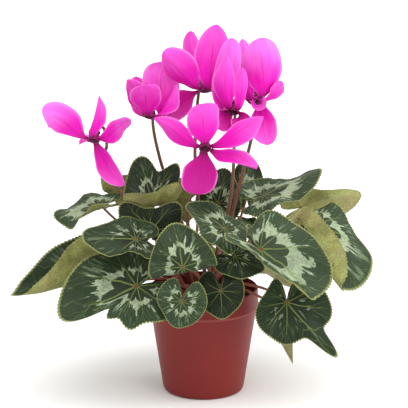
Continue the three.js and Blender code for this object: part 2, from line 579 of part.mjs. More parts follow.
// A bloom: a cupped throat with the cone of its anthers inside, and five petals.
function bloomSolid(bloom) {
  const { radius, depth, bore, sides } = THROAT;
  const profile = [
    [0, -depth], [3, -depth], [radius, -depth * 0.4], [radius, 0], [bore, 0],
    [bore * 0.9, -depth * 0.5], [1.7, -depth * 0.55], [0, -1],
  ];
  let solid = solidOf(placed(bloom, turned(profile, sides)));
  for (const petal of bloom.petals) {
    solid = solid.add(petalSolid(bloom, petal));
  }
  return solid;
}

// A flower stalk: up from the tuber, over in a hook, and into the calyx behind the throat.
function scapeSolid(bloom) {
  const mouth = vec(bloom.mouth).normalize();
  const back = vec(bloom.throat).addScaledVector(mouth, -THROAT.depth - GAP);
  const angle = rad(bloom.foot);
  const foot = new THREE.Vector3(SCAPE.ring * Math.cos(angle), SCAPE.ring * Math.sin(angle), 90);
  const hook = back.clone().addScaledVector(mouth, -8);
  const path = [foot, ...bloom.stem.map(vec)];
  if (bloom.gap) {
    const aside = petalWay(bloom, rad(bloom.gap));
    path.push(vec(bloom.throat).addScaledVector(aside, SCAPE.aside));
    hook.addScaledVector(aside, 5);
  }
  path.push(hook, back.clone().addScaledVector(mouth, -2));
  const curve = new THREE.CatmullRomCurve3(path, false, "centripetal");
  const top = -THROAT.depth - GAP;
  const calyx = turned([[0, top - 4], [2.3, top - 4], [4.6, top], [0, top]], 8);
  return solidOf(placed(bloom, calyx))
    .add(stalkSolid(curve, SCAPE))
    .subtract(solidOf(turned(cormProfile(GAP), CORM_SIDES)));
}

BLOOMS.forEach((bloom) => {
  add(bloom.name, bloomSolid(bloom), PAINT.petal);
  add(bloom.name.replace("bloom", "scape"), scapeSolid(bloom), PAINT.scape);
});

export default group;
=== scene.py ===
"""Potted cyclamen: marbled leaves, magenta blooms and a brick-red pot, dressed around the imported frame.

Every position is in millimetres in the row's frame (+Z up, the side in the picture faces -Y), and a finished
mesh is scaled to metres. The leaf, petal and stalk formulas are those of the solids, sampled more finely.
"""

import logging
import math
import random
from bisect import bisect_left
from collections.abc import Callable, Iterator, Sequence
from contextlib import contextmanager
from dataclasses import dataclass
from enum import Enum

import bmesh
import bpy
from mathutils import Matrix, Vector, noise


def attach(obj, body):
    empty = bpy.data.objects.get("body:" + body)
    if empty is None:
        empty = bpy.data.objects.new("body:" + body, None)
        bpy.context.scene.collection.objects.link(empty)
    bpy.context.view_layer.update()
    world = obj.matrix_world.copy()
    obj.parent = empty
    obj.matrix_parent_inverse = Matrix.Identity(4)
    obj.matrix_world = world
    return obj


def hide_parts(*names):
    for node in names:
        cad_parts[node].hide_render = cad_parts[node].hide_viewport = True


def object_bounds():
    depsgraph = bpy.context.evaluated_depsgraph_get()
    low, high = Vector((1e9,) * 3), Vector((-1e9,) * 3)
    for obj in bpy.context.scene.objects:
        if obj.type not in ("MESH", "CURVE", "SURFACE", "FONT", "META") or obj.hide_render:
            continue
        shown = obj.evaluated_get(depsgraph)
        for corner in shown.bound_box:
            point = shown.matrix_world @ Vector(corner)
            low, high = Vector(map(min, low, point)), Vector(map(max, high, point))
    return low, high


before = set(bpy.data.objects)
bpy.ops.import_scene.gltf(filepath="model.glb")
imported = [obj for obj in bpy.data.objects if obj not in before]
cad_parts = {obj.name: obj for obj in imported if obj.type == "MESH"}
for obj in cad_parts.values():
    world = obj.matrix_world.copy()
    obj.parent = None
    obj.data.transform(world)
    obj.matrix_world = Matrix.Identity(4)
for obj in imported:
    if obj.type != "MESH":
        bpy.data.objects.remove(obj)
FRAME_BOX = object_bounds()
log = logging.getLogger("cyclamen")

MM = 0.001
TAU = 2 * math.pi
MERGE = 1e-4  # points nearer than this, in millimetres, are one
Triple = tuple[float, float, float]
Value = float | tuple[float, ...] | bpy.types.NodeSocket


# ---- Shader graphs ----


class Graph:
    """A shader node tree with short calls that add and link its nodes."""

    def __init__(self, tree: bpy.types.NodeTree) -> None:
        """Wraps a tree.

        Args:
            tree: The node tree that the calls add to.
        """
        self.tree = tree

    def add(
        self, kind: str, inputs: dict[str | int, Value] | None = None, **settings: object
    ) -> bpy.types.Node:
        """Adds a node.

        Args:
            kind: The node's type name.
            inputs: Values or sockets by input name or number.
            settings: Properties of the node.

        Returns:
            The new node.
        """
        node = self.tree.nodes.new(kind)
        for key, value in settings.items():
            setattr(node, key, value)
        for key, value in (inputs or {}).items():
            self.feed(node.inputs[key], value)
        return node

    def feed(self, socket: bpy.types.NodeSocket, value: Value) -> None:
        """Links a socket into another, or sets its value.

        Args:
            socket: The input that is fed.
            value: A socket to link, or a plain value.
        """
        if isinstance(value, bpy.types.NodeSocket):
            self.tree.links.new(value, socket)
        else:
            socket.default_value = value

    def math(self, operation: str, *values: Value, clamp: bool = False) -> bpy.types.NodeSocket:
        """Adds a Math node and returns its result."""
        given = dict(enumerate(values))
        return self.add("ShaderNodeMath", given, operation=operation, use_clamp=clamp).outputs[0]

    def times(self, first: Value, *others: Value) -> bpy.types.NodeSocket:
        """Multiplies values from left to right.

        Args:
            first: The first value.
            others: What it is multiplied by.

        Returns:
            The product.
        """
        for other in others:
            first = self.math("MULTIPLY", first, other)
        return first

    def plus(self, first: Value, second: Value) -> bpy.types.NodeSocket:
        """Adds two values."""
        return self.math("ADD", first, second)

    def less(self, first: Value, second: Value) -> bpy.types.NodeSocket:
        """Takes the second value from the first."""
        return self.math("SUBTRACT", first, second)

    def scaled(self, value: Value, by: Value, plus: Value, clamp: bool = False) -> bpy.types.NodeSocket:
        """Multiplies a value by one number and adds another."""
        return self.math("MULTIPLY_ADD", value, by, plus, clamp=clamp)

    def smooth(
        self, value: Value, low: Value, high: Value, to_low: float = 0.0, to_high: float = 1.0
    ) -> bpy.types.NodeSocket:
        """Maps a value smoothly from one range to another."""
        given = {"Value": value, "From Min": low, "From Max": high, "To Min": to_low, "To Max": to_high}
        return self.add("ShaderNodeMapRange", given, interpolation_type="SMOOTHSTEP").outputs[0]

    def mix(self, factor: Value, first: Value, second: Value, blend: str = "MIX") -> bpy.types.NodeSocket:
        """Blends two colours and returns the result."""
        given = {0: factor, 6: first, 7: second}
        return self.add("ShaderNodeMix", given, data_type="RGBA", blend_type=blend).outputs[2]

    def noise(
        self, place: Value, scale: float, detail: float = 2.0, rough: float = 0.5
    ) -> bpy.types.NodeSocket:
        """Adds a noise texture and returns its value from 0 to 1."""
        given = {"Vector": place, "Scale": scale, "Detail": detail, "Roughness": rough}
        return self.add("ShaderNodeTexNoise", given).outputs["Fac"]

    def cells(self, place: Value, scale: float, feature: str = "F1") -> bpy.types.NodeSocket:
        """Adds a Voronoi texture and returns its distance."""
        given = {"Vector": place, "Scale": scale}
        return self.add("ShaderNodeTexVoronoi", given, feature=feature).outputs["Distance"]

    def vector(self, x: Value, y: Value, z: Value = 0.0) -> bpy.types.NodeSocket:
        """Joins three values into a vector."""
        return self.add("ShaderNodeCombineXYZ", {0: x, 1: y, 2: z}).outputs[0]

    def split(self, place: Value) -> tuple[bpy.types.NodeSocket, ...]:
        """Splits a vector into its three values."""
        return tuple(self.add("ShaderNodeSeparateXYZ", {0: place}).outputs)


class Pattern:
    """A shader node group with named inputs and outputs, made once and shared."""

    name = "Pattern"
    inputs: dict[str, tuple[str, Value]] = {}
    outputs: dict[str, str] = {
        "Color": "NodeSocketColor",
        "Height": "NodeSocketFloat",
        "Roughness": "NodeSocketFloat",
    }

    def wire(self, g: Graph, given: dict[str, bpy.types.NodeSocket]) -> dict[str, Value]:
        """Adds the group's nodes and returns what each output takes."""
        raise NotImplementedError

    def tree(self) -> bpy.types.NodeTree:
        """Makes the group on the first call.

        Returns:
            The group's node tree.
        """
        if self.name in bpy.data.node_groups:
            return bpy.data.node_groups[self.name]
        tree = bpy.data.node_groups.new(self.name, "ShaderNodeTree")
        for name, (kind, default) in self.inputs.items():
            socket = tree.interface.new_socket(name, in_out="INPUT", socket_type=kind)
            if kind != "NodeSocketVector":
                socket.default_value = default
        for name, kind in self.outputs.items():
            tree.interface.new_socket(name, in_out="OUTPUT", socket_type=kind)
        g = Graph(tree)
        source = g.add("NodeGroupInput")
        made = self.wire(g, {name: source.outputs[name] for name in self.inputs})
        g.add("NodeGroupOutput", dict(made))
        return tree


VECTOR = ("NodeSocketVector", (0.0, 0.0, 0.0))
MAIN_VEINS = 9


class BladePattern(Pattern):
    """What both faces of a leaf share: a patch to draw on and the main veins that fan out over it.

    Flat is the blade's own flat plane in units of 100 mm; Polar is (turn, share of the way out).
    """

    def fan(
        self, g: Graph, given: dict[str, bpy.types.NodeSocket], spread: float
    ) -> tuple[bpy.types.NodeSocket, ...]:
        """Places a point of the blade among its main veins.

        Args:
            g: The graph to add to.
            given: The group's inputs by name.
            spread: How far apart in the noise two leaves lie.

        Returns:
            The noise's place, the turn, the share of the way out, and the distance from the nearest main
            vein as a share of the gap between two (0 to 0.5) and as an angle.
        """
        x, y, _ = g.split(given["Flat"])
        turn, out, _ = g.split(given["Polar"])
        place = g.vector(x, y, g.times(given["Seed"], spread))
        warp = g.times(g.less(g.noise(place, 7.0, 1.0), 0.5), 0.34)
        gap = g.math("ABSOLUTE", g.less(g.math("FRACT", g.scaled(turn, float(MAIN_VEINS), warp)), 0.5))
        return place, turn, out, gap, g.times(gap, TAU / MAIN_VEINS)


class LeafPattern(BladePattern):
    """The upper face of a leaf: dark middle, branching pale veins, a ring of silver flames, a pale margin.
    Dark darkens it all: partly the leaf's own deeper green, partly painted shade.
    """

    name = "LeafPattern"
    inputs = {
        "Flat": VECTOR,
        "Polar": VECTOR,
        "Seed": ("NodeSocketFloat", 0.5),
        "Silver": ("NodeSocketFloat", 0.5),
        "Dark": ("NodeSocketFloat", 0.0),
    }

    MIDDLE, OUTER, CLOUDED = (0.005, 0.012, 0.0025, 1), (0.015, 0.036, 0.011, 1), (0.033, 0.056, 0.025, 1)
    GREYED, SHADED, STREAKED = (0.12, 0.15, 0.095, 1), (0.005, 0.009, 0.0025, 1), (0.22, 0.3, 0.17, 1)
    SILVER_LOW, SILVER_HIGH = (0.28, 0.35, 0.22, 1), (0.38, 0.45, 0.3, 1)
    VEIN, TWIG, MARGIN = (0.17, 0.23, 0.055, 1), (0.16, 0.21, 0.07, 1), (0.27, 0.3, 0.1, 1)
    JOINT, SPECK = (0.16, 0.035, 0.02, 1), (0.006, 0.011, 0.003, 1)

    def wire(self, g: Graph, given: dict[str, bpy.types.NodeSocket]) -> dict[str, Value]:
        """Adds the nodes.

        Args:
            g: The graph to add to.
            given: The group's inputs by name.

        Returns:
            What each output takes.
        """
        place, turn, out, gap, aside = self.fan(g, given, 7.0)
        main = self.line(g, g.times(aside, out), g.scaled(out, -0.012, 0.019))
        fork = self.branch(g, aside, out, 0.42, 0.5, 0.007)
        twig = self.branch(g, aside, out, 0.66, 0.45, 0.005)
        grain = g.noise(place, 60.0, 3.0, 0.6)
        cloud = g.noise(place, 5.5, 2.0, 0.6)
        silver, streak = self.silver(g, given, turn, out, gap, cloud)
        base = g.mix(g.smooth(out, 0.25, 0.6), self.MIDDLE, self.OUTER)
        base = g.mix(g.times(g.smooth(cloud, 0.35, 0.7), 0.6), base, self.CLOUDED)
        base = g.mix(g.times(given["Silver"], 0.2), base, self.GREYED)
        # Dark is partly the leaf's own deeper green and partly painted shade on leaves that sit in the shade
        # of others.
        base = g.mix(g.times(given["Dark"], 0.9), base, self.SHADED)
        base = g.mix(g.times(streak, g.scaled(given["Dark"], -0.7, 1.0)), base, self.STREAKED)
        pale = g.mix(g.smooth(grain, 0.3, 0.75), self.SILVER_LOW, self.SILVER_HIGH)
        colour = g.mix(silver, base, pale)
        fade = g.scaled(g.smooth(out, 0.3, 0.9), -0.45, 0.75)
        colour = g.mix(g.times(main, fade), colour, self.VEIN)
        colour = g.mix(g.times(g.math("MAXIMUM", fork, twig), 0.4), colour, self.TWIG)
        edge = g.smooth(g.scaled(g.less(grain, 0.5), 0.03, out), 0.955, 0.985)
        colour = g.mix(g.times(edge, 0.85), colour, self.MARGIN)
        colour = g.mix(g.smooth(out, 0.015, 0.06, 1.0, 0.0), colour, self.JOINT)
        colour = g.mix(g.smooth(grain, 0.35, 0.5, 0.28, 0.0), colour, self.SPECK)
        veins = g.math("MAXIMUM", main, g.math("MAXIMUM", fork, twig))
        relief = g.scaled(veins, -0.8, g.times(g.cells(place, 60.0), 0.5))
        rough = g.scaled(grain, 0.22, g.scaled(silver, 0.08, 0.42))
        return {"Color": colour, "Height": relief, "Roughness": rough}

    def silver(
        self, g: Graph, given: dict[str, Value], turn: Value, out: Value, gap: Value, cloud: Value
    ) -> tuple[bpy.types.NodeSocket, bpy.types.NodeSocket]:
        """Draws the broken ring of silver patches and the pale streaks that run out of it.

        Args:
            g: The graph to add to.
            given: The group's inputs.
            turn: Turn about the joint, 0 to 1.
            out: Share of the way out.
            gap: Distance from the nearest main vein, 0 to 0.5.
            cloud: Broad noise.

        Returns:
            Masks of the patches and of the streaks.
        """
        seed = given["Seed"]
        flames = g.noise(g.vector(g.times(turn, 17.0), g.times(out, 1.8), seed), 1.6, 3.0, 0.7)
        needles = g.noise(g.vector(g.times(turn, 48.0), g.times(out, 1.6), seed), 1.5, 2.0, 0.6)
        patch = g.noise(g.vector(g.times(turn, 5.0), 0.0, g.times(seed, 31.0)), 1.9, 1.0)
        bulge = g.times(g.math("POWER", g.times(gap, 2.0), 2.0), -0.16)
        inner = g.plus(g.scaled(cloud, 0.3, 0.26), bulge)
        spike = g.times(g.smooth(needles, 0.55, 0.72), 0.24)
        outer = g.plus(g.scaled(flames, 0.75, 0.13), spike)
        outer = g.scaled(g.less(given["Silver"], 0.5), 0.34, outer)
        starts = g.smooth(out, inner, g.plus(inner, 0.03))
        ends = g.smooth(out, g.less(outer, 0.04), outer, 1.0, 0.0)
        enough = g.smooth(g.scaled(given["Silver"], 0.34, patch), 0.52, 0.6)
        some = g.smooth(given["Silver"], 0.02, 0.4)
        mottle = g.scaled(g.smooth(cloud, 0.3, 0.6), 0.35, 0.65)
        patches = g.times(g.times(starts, ends, enough), g.times(some, mottle))
        late = g.times(g.smooth(out, 0.5, 0.62), g.smooth(out, 0.86, 0.97, 1.0, 0.0))
        streaks = g.times(g.smooth(needles, 0.56, 0.68), late)
        return patches, g.times(streaks, g.scaled(given["Silver"], 0.75, 0.15, clamp=True))

    def line(self, g: Graph, distance: Value, width: Value) -> bpy.types.NodeSocket:
        """A soft line: 1 on it, 0 past its width."""
        return g.smooth(distance, g.times(width, 0.35), width, 1.0, 0.0)

    def branch(
        self, g: Graph, aside: Value, out: Value, start: float, spread: float, width: float
    ) -> bpy.types.NodeSocket:
        """Draws the two side veins that leave a main vein at `start` of the way out.

        Args:
            g: The graph to add to.
            aside: Angle from the nearest main vein.
            out: Share of the way out.
            start: Where the side veins leave.
            spread: Angle gained over the whole way out.
            width: Half width of a side vein.

        Returns:
            A mask of the side veins.
        """
        past = g.less(out, start)
        away = g.math("ABSOLUTE", g.scaled(past, -spread, aside))
        return g.times(self.line(g, g.times(away, out), width), g.smooth(past, 0.0, 0.03))


class UndersidePattern(BladePattern):
    """The lower face of a leaf: olive green flushed with tan pink, its veins raised and paler."""

    name = "UndersidePattern"
    inputs = {
        "Flat": VECTOR,
        "Polar": VECTOR,
        "Seed": ("NodeSocketFloat", 0.5),
        "Light": ("NodeSocketFloat", 0.5),
        "First": ("NodeSocketColor", (0.095, 0.105, 0.022, 1)),
        "Second": ("NodeSocketColor", (0.5, 0.52, 0.19, 1)),
        "Flush": ("NodeSocketColor", (0.36, 0.26, 0.15, 1)),
    }

    MARGIN, SPECK = (0.24, 0.25, 0.09, 1), (0.06, 0.055, 0.012, 1)

    def wire(self, g: Graph, given: dict[str, bpy.types.NodeSocket]) -> dict[str, Value]:
        """Adds the nodes.

        Args:
            g: The graph to add to.
            given: The group's inputs by name.

        Returns:
            What each output takes.
        """
        place, _, out, _, aside = self.fan(g, given, 5.0)
        veins = g.smooth(g.times(aside, out), 0.0, g.scaled(out, -0.02, 0.032), 1.0, 0.0)
        cloud = g.noise(place, 7.0, 3.0, 0.6)
        grain = g.noise(place, 55.0, 3.0, 0.6)
        flush = g.smooth(g.noise(place, 4.0, 2.0), 0.45, 0.75)
        tone = g.scaled(g.smooth(cloud, 0.3, 0.7), 0.35, g.times(given["Light"], 0.65))
        colour = g.mix(tone, given["First"], given["Second"])
        colour = g.mix(g.times(flush, 0.5), colour, given["Flush"])
        colour = g.mix(g.times(veins, 0.5), colour, given["Flush"])
        colour = g.mix(g.smooth(out, 0.955, 0.99, 0.0, 0.7), colour, self.MARGIN)
        colour = g.mix(g.smooth(grain, 0.4, 0.6, 0.3, 0.0), colour, self.SPECK)
        relief = g.scaled(veins, 0.9, g.times(g.cells(place, 50.0), 0.4))
        return {"Color": colour, "Height": relief, "Roughness": g.scaled(grain, 0.15, 0.45)}


class PetalPattern(Pattern):
    """A petal: dark at the throat, vivid magenta, paler to its tip and edges, with fine lines along it. Pale
    is partly its own colour, partly painted light and painted shade.

    Place is (across from 0 to 1, along from 0 to 1).
    """

    name = "PetalPattern"
    inputs = {"Place": VECTOR, "Seed": ("NodeSocketFloat", 0.5), "Pale": ("NodeSocketFloat", 0.3)}

    # The deep body colour also serves as painted shade, and the pale colour as painted light.
    DEEP, VIVID, LIGHT = (0.42, 0.003, 0.21, 1), (0.7, 0.006, 0.42, 1), (0.95, 0.2, 0.8, 1)
    STREAK, RIM, MIDLINE = (0.42, 0.003, 0.2, 1), (0.9, 0.2, 0.68, 1), (0.36, 0.003, 0.17, 1)
    FOOT, THROAT = (0.24, 0.002, 0.1, 1), (0.1, 0.002, 0.04, 1)

    def wire(self, g: Graph, given: dict[str, bpy.types.NodeSocket]) -> dict[str, Value]:
        """Adds the nodes.

        Args:
            g: The graph to add to.
            given: The group's inputs by name.

        Returns:
            What each output takes.
        """
        across, along, _ = g.split(given["Place"])
        seed = given["Seed"]
        side = g.math("ABSOLUTE", g.scaled(across, 2.0, -1.0))
        drawn = g.vector(g.times(across, 22.0), g.times(along, 3.0), g.times(seed, 9.0))
        streaks = g.noise(drawn, 2.0, 3.0, 0.6)
        cloud = g.noise(g.vector(across, along, seed), 3.5, 2.0)
        grain = g.noise(g.vector(across, g.times(along, 2.0), seed), 60.0, 2.0)
        tip = g.smooth(g.scaled(cloud, 0.3, along), 0.5, 1.15)
        margin = g.smooth(side, 0.7, 1.0, 0.0, 0.5)
        # Pale scales the paler tip and edges, partly painted light on petals that face the light; a low Pale
        # gives the deep body, painted shade on petals that face down.
        light = g.math("MULTIPLY", g.math("MAXIMUM", tip, margin), given["Pale"], clamp=True)
        body = g.mix(g.smooth(given["Pale"], 0.0, 0.5), self.DEEP, self.VIVID)
        colour = g.mix(light, body, self.LIGHT)
        colour = g.mix(g.times(g.smooth(streaks, 0.48, 0.72), 0.4), colour, self.STREAK)
        foot = g.smooth(g.scaled(streaks, 0.12, along), 0.1, 0.42, 0.75, 0.0)
        colour = g.mix(foot, colour, self.FOOT)
        colour = g.mix(g.smooth(along, 0.03, 0.14, 0.9, 0.0), colour, self.THROAT)
        rim = g.times(g.smooth(side, 0.86, 0.97), g.smooth(along, 0.3, 0.6, 0.0, 0.55))
        colour = g.mix(rim, colour, self.RIM)
        midline = g.times(g.smooth(side, 0.0, 0.07, 0.5, 0.0), g.smooth(along, 0.6, 0.95, 1.0, 0.0))
        colour = g.mix(midline, colour, self.MIDLINE)
        relief = g.scaled(streaks, 0.8, g.times(grain, 0.4))
        return {"Color": colour, "Height": relief, "Roughness": g.scaled(grain, 0.15, 0.42)}


class StalkPattern(Pattern):
    """Fleshy stalk skin: streaks along it, small freckles and a greener or redder flush.

    Place is in metres; Along is (turn round the stalk, share of its length).
    """

    name = "StalkPattern"
    inputs = {
        "Place": VECTOR,
        "Along": VECTOR,
        "First": ("NodeSocketColor", (0.2, 0.06, 0.04, 1)),
        "Second": ("NodeSocketColor", (0.1, 0.03, 0.02, 1)),
    }

    FRECKLE = (0.04, 0.012, 0.01, 1)

    def wire(self, g: Graph, given: dict[str, bpy.types.NodeSocket]) -> dict[str, Value]:
        """Adds the nodes.

        Args:
            g: The graph to add to.
            given: The group's inputs by name.

        Returns:
            What each output takes.
        """
        turn, along, _ = g.split(given["Along"])
        streaks = g.noise(g.vector(g.times(turn, 9.0), g.times(along, 2.5), 0.0), 2.0, 3.0)
        cloud = g.noise(given["Place"], 45.0, 2.0)
        grain = g.noise(given["Place"], 900.0, 2.0)
        shade = g.smooth(g.scaled(cloud, 0.8, g.scaled(streaks, 0.4, along)), 0.6, 1.5)
        colour = g.mix(shade, given["First"], given["Second"])
        colour = g.mix(g.times(g.smooth(grain, 0.5, 0.8), 0.4), colour, self.FRECKLE)
        relief = g.scaled(streaks, 0.6, g.times(grain, 0.4))
        return {"Color": colour, "Height": relief, "Roughness": g.scaled(grain, 0.2, 0.38)}


class PotPattern(Pattern):
    """Moulded brick-red plastic: faint cloudiness, dust low down and a paler ledge under the collar.

    Place is in metres.
    """

    name = "PotPattern"
    inputs = {"Place": VECTOR}

    BRICK, WORN = (0.157, 0.0102, 0.0083, 1), (0.2, 0.0165, 0.013, 1)
    DUST, LEDGE = (0.24, 0.06, 0.045, 1), (0.36, 0.1, 0.08, 1)

    def wire(self, g: Graph, given: dict[str, bpy.types.NodeSocket]) -> dict[str, Value]:
        """Adds the nodes.

        Args:
            g: The graph to add to.
            given: The group's inputs by name.

        Returns:
            What each output takes.
        """
        _, _, z = g.split(given["Place"])
        cloud = g.noise(given["Place"], 22.0, 3.0)
        grain = g.noise(given["Place"], 1500.0, 2.0)
        scuff = g.noise(given["Place"], 160.0, 4.0, 0.7)
        colour = g.mix(cloud, self.BRICK, self.WORN)
        dusty = g.times(g.smooth(scuff, 0.58, 0.75), g.smooth(z, 0.0, 0.05, 0.5, 0.12))
        colour = g.mix(dusty, colour, self.DUST)
        ledge = g.times(g.smooth(z, 0.0829, 0.0836), g.smooth(z, 0.0852, 0.0858, 1.0, 0.0))
        colour = g.mix(g.times(ledge, 0.6), colour, self.LEDGE)
        relief = g.scaled(grain, 0.4, scuff)
        return {"Color": colour, "Height": relief, "Roughness": g.scaled(scuff, 0.22, 0.36)}


class EarthPattern(Pattern):
    """Damp peat soil or corky skin: coarse dark clumps with paler fibres and crumbs. Place is in metres."""

    name = "EarthPattern"
    inputs = {
        "Place": VECTOR,
        "First": ("NodeSocketColor", (0.012, 0.008, 0.005, 1)),
        "Second": ("NodeSocketColor", (0.07, 0.045, 0.03, 1)),
    }

    FIBRE = (0.16, 0.11, 0.07, 1)

    def wire(self, g: Graph, given: dict[str, bpy.types.NodeSocket]) -> dict[str, Value]:
        """Adds the nodes.

        Args:
            g: The graph to add to.
            given: The group's inputs by name.

        Returns:
            What each output takes.
        """
        lumps = g.cells(given["Place"], 420.0)
        cloud = g.noise(given["Place"], 130.0, 4.0, 0.65)
        fibre = g.noise(given["Place"], 800.0, 3.0, 0.7)
        colour = g.mix(g.smooth(cloud, 0.3, 0.75), given["First"], given["Second"])
        colour = g.mix(g.times(g.smooth(fibre, 0.6, 0.75), 0.5), colour, self.FIBRE)
        relief = g.scaled(lumps, 0.8, g.times(fibre, 0.7))
        return {"Color": colour, "Height": relief, "Roughness": g.scaled(fibre, 0.15, 0.8)}


class Source(Enum):
    """Where a material reads its place on the surface."""

    FLAT = "Flat"
    POLAR = "Polar"
    OBJECT = "Object"


@dataclass(frozen=True)
class Finish:
    """A procedural material: one pattern group, what feeds it, and its plain shader settings.

    Attributes:
        name: The material's name.
        pattern: The pattern group.
        places: Which place feeds each vector input.
        info: Group inputs fed by the channels of the piece's info attribute, in order.
        colours: Plain colours of the group's inputs.
        relief: Height of the bump in metres.
        subsurface: Share of light that passes into the flesh.
        specular: Specular level.
        sheen: Sheen weight.
    """

    name: str
    pattern: type[Pattern]
    places: tuple[tuple[str, Source], ...]
    info: tuple[str, ...] = ()
    colours: tuple[tuple[str, tuple[float, ...]], ...] = ()
    relief: float = 0.0003
    subsurface: float = 0.0
    specular: float = 0.5
    sheen: float = 0.0

    def material(self) -> bpy.types.Material:
        """Makes the material on the first call.

        Returns:
            The material.
        """
        if self.name in bpy.data.materials:
            return bpy.data.materials[self.name]
        material = bpy.data.materials.new(self.name)
        material.use_nodes = True
        material.node_tree.nodes.clear()
        g = Graph(material.node_tree)
        group = g.add("ShaderNodeGroup", node_tree=self.pattern().tree())
        for name, source in self.places:
            g.feed(group.inputs[name], self.place(g, source))
        for name, colour in self.colours:
            g.feed(group.inputs[name], (*colour, 1.0))
        if self.info:
            read = g.add("ShaderNodeAttribute", attribute_name="info")
            channels = g.split(read.outputs["Vector"])
            for name, channel in zip(self.info, channels):
                g.feed(group.inputs[name], channel)
        raised = {"Strength": 0.5, "Distance": self.relief, "Height": group.outputs["Height"]}
        bump = g.add("ShaderNodeBump", raised)
        shader = g.add("ShaderNodeBsdfPrincipled", {
            "Base Color": group.outputs["Color"],
            "Roughness": group.outputs["Roughness"],
            "Normal": bump.outputs[0],
            "Specular IOR Level": self.specular,
            "Subsurface Weight": self.subsurface,
            "Subsurface Radius": (0.004, 0.002, 0.002),
            "Subsurface Scale": 1.0,
            "Sheen Weight": self.sheen,
        })
        g.add("ShaderNodeOutputMaterial", {"Surface": shader.outputs[0]})
        return material

    def place(self, g: Graph, source: Source) -> bpy.types.NodeSocket:
        """Adds the node that a place is read from.

        Args:
            g: The graph to add to.
            source: Which place is read.

        Returns:
            The node's output.
        """
        if source is Source.OBJECT:
            return g.add("ShaderNodeTexCoord").outputs["Object"]
        return g.add("ShaderNodeUVMap", uv_map=source.value).outputs[0]


BLADE = (("Flat", Source.FLAT), ("Polar", Source.POLAR))
STALK = (("Place", Source.OBJECT), ("Along", Source.POLAR))
BULK = (("Place", Source.OBJECT),)
LEAF_TOP = Finish(
    "leaf_top", LeafPattern, BLADE, info=("Seed", "Silver", "Dark"), relief=0.0005, specular=0.16
)
LEAF_UNDER = Finish(
    "leaf_underside", UndersidePattern, BLADE, info=("Seed", "Light"), relief=0.0005, specular=0.15
)
YOUNG_LEAF = Finish(
    "young_leaf_skin", UndersidePattern, BLADE, info=("Seed",), relief=0.0004, specular=0.3,
    colours=(("First", (0.24, 0.3, 0.05)), ("Second", (0.42, 0.46, 0.12)), ("Flush", (0.5, 0.46, 0.2))),
)
PETAL_SKIN = Finish(
    "petal_skin", PetalPattern, (("Place", Source.POLAR),), info=("Seed", "Pale"),
    relief=0.00015, subsurface=0.2, specular=0.12,
)
THROAT_SKIN = Finish(
    "throat_skin", StalkPattern, STALK, specular=0.35,
    colours=(("First", (0.3, 0.01, 0.14)), ("Second", (0.08, 0.004, 0.03))),
)
ANTHER_SKIN = Finish(
    "anther_skin", StalkPattern, STALK,
    colours=(("First", (0.22, 0.08, 0.03)), ("Second", (0.05, 0.01, 0.02))),
)
STALK_SKIN = Finish(
    "leaf_stalk_skin", StalkPattern, STALK,
    colours=(("First", (0.25, 0.05, 0.035)), ("Second", (0.33, 0.13, 0.09))),
)
SCAPE_SKIN = Finish(
    "flower_stalk_skin", StalkPattern, STALK,
    colours=(("First", (0.17, 0.04, 0.025)), ("Second", (0.12, 0.065, 0.025))),
)
CALYX_SKIN = Finish(
    "calyx_skin", StalkPattern, STALK,
    colours=(("First", (0.1, 0.06, 0.02)), ("Second", (0.16, 0.04, 0.03))),
)
POT_SKIN = Finish("pot_plastic", PotPattern, BULK, relief=0.00012, specular=0.25)
SOIL_SKIN = Finish("soil_peat", EarthPattern, BULK, relief=0.0012, specular=0.2)
CORM_SKIN = Finish(
    "corm_cork", EarthPattern, BULK, relief=0.0008, specular=0.25,
    colours=(("First", (0.05, 0.028, 0.016)), ("Second", (0.17, 0.1, 0.06))),
)


# ---- Small geometry helpers ----


def vec(values: Triple) -> Vector:
    """A vector from three numbers."""
    return Vector(values)


def lerp(a: float, b: float, t: float) -> float:
    """The value a share t of the way from a to b."""
    return a + (b - a) * t


def ease(t: float) -> float:
    """Smooth step of t, held between 0 and 1."""
    t = min(1.0, max(0.0, t))
    return t * t * (3 - 2 * t)


def upright(way: Vector, axis: Vector) -> Vector:
    """The unit part of `way` that is perpendicular to `axis`."""
    return (way - axis * way.dot(axis)).normalized()


def bezier(points: Sequence[Vector], t: float) -> Vector:
    """Finds a point of a cubic Bezier curve.

    Args:
        points: Its four points.
        t: Share of the way along it.

    Returns:
        The point.
    """
    s = 1 - t
    a, b, c, d = points
    return a * s ** 3 + b * 3 * s * s * t + c * 3 * s * t * t + d * t ** 3


def catmull(points: Sequence[Vector], steps: int) -> list[Vector]:
    """Evenly spaced points on the centripetal Catmull-Rom curve through `points`.

    Args:
        points: The points passed.
        steps: How many even steps the curve is cut into.

    Returns:
        steps + 1 points, ends included.
    """
    ends = [points[0] * 2 - points[1], *points, points[-1] * 2 - points[-2]]
    fine: list[Vector] = []
    for k in range(len(points) - 1):
        p = ends[k:k + 4]
        t = [0.0]
        for a, b in zip(p, p[1:]):
            t.append(t[-1] + math.sqrt((b - a).length))
        for i in range(24):
            u = lerp(t[1], t[2], i / 24)
            first = [(p[j] * (t[j + 1] - u) + p[j + 1] * (u - t[j])) / (t[j + 1] - t[j]) for j in range(3)]
            second = [
                (first[j] * (t[j + 2] - u) + first[j + 1] * (u - t[j])) / (t[j + 2] - t[j]) for j in range(2)
            ]
            fine.append((second[0] * (t[2] - u) + second[1] * (u - t[1])) / (t[2] - t[1]))
    fine.append(points[-1])
    return resample(fine, steps)


def resample(points: Sequence[Vector], steps: int) -> list[Vector]:
    """Spaces points evenly along a chain of points.

    Args:
        points: The chain.
        steps: How many even steps it is cut into.

    Returns:
        steps + 1 points, ends included.
    """
    run = [0.0]
    for a, b in zip(points, points[1:]):
        run.append(run[-1] + (b - a).length)
    out = []
    for i in range(steps + 1):
        want = run[-1] * i / steps
        k = min(len(run) - 2, max(0, bisect_left(run, want) - 1))
        span = run[k + 1] - run[k]
        out.append(points[k].lerp(points[k + 1], (want - run[k]) / span if span else 0.0))
    return out


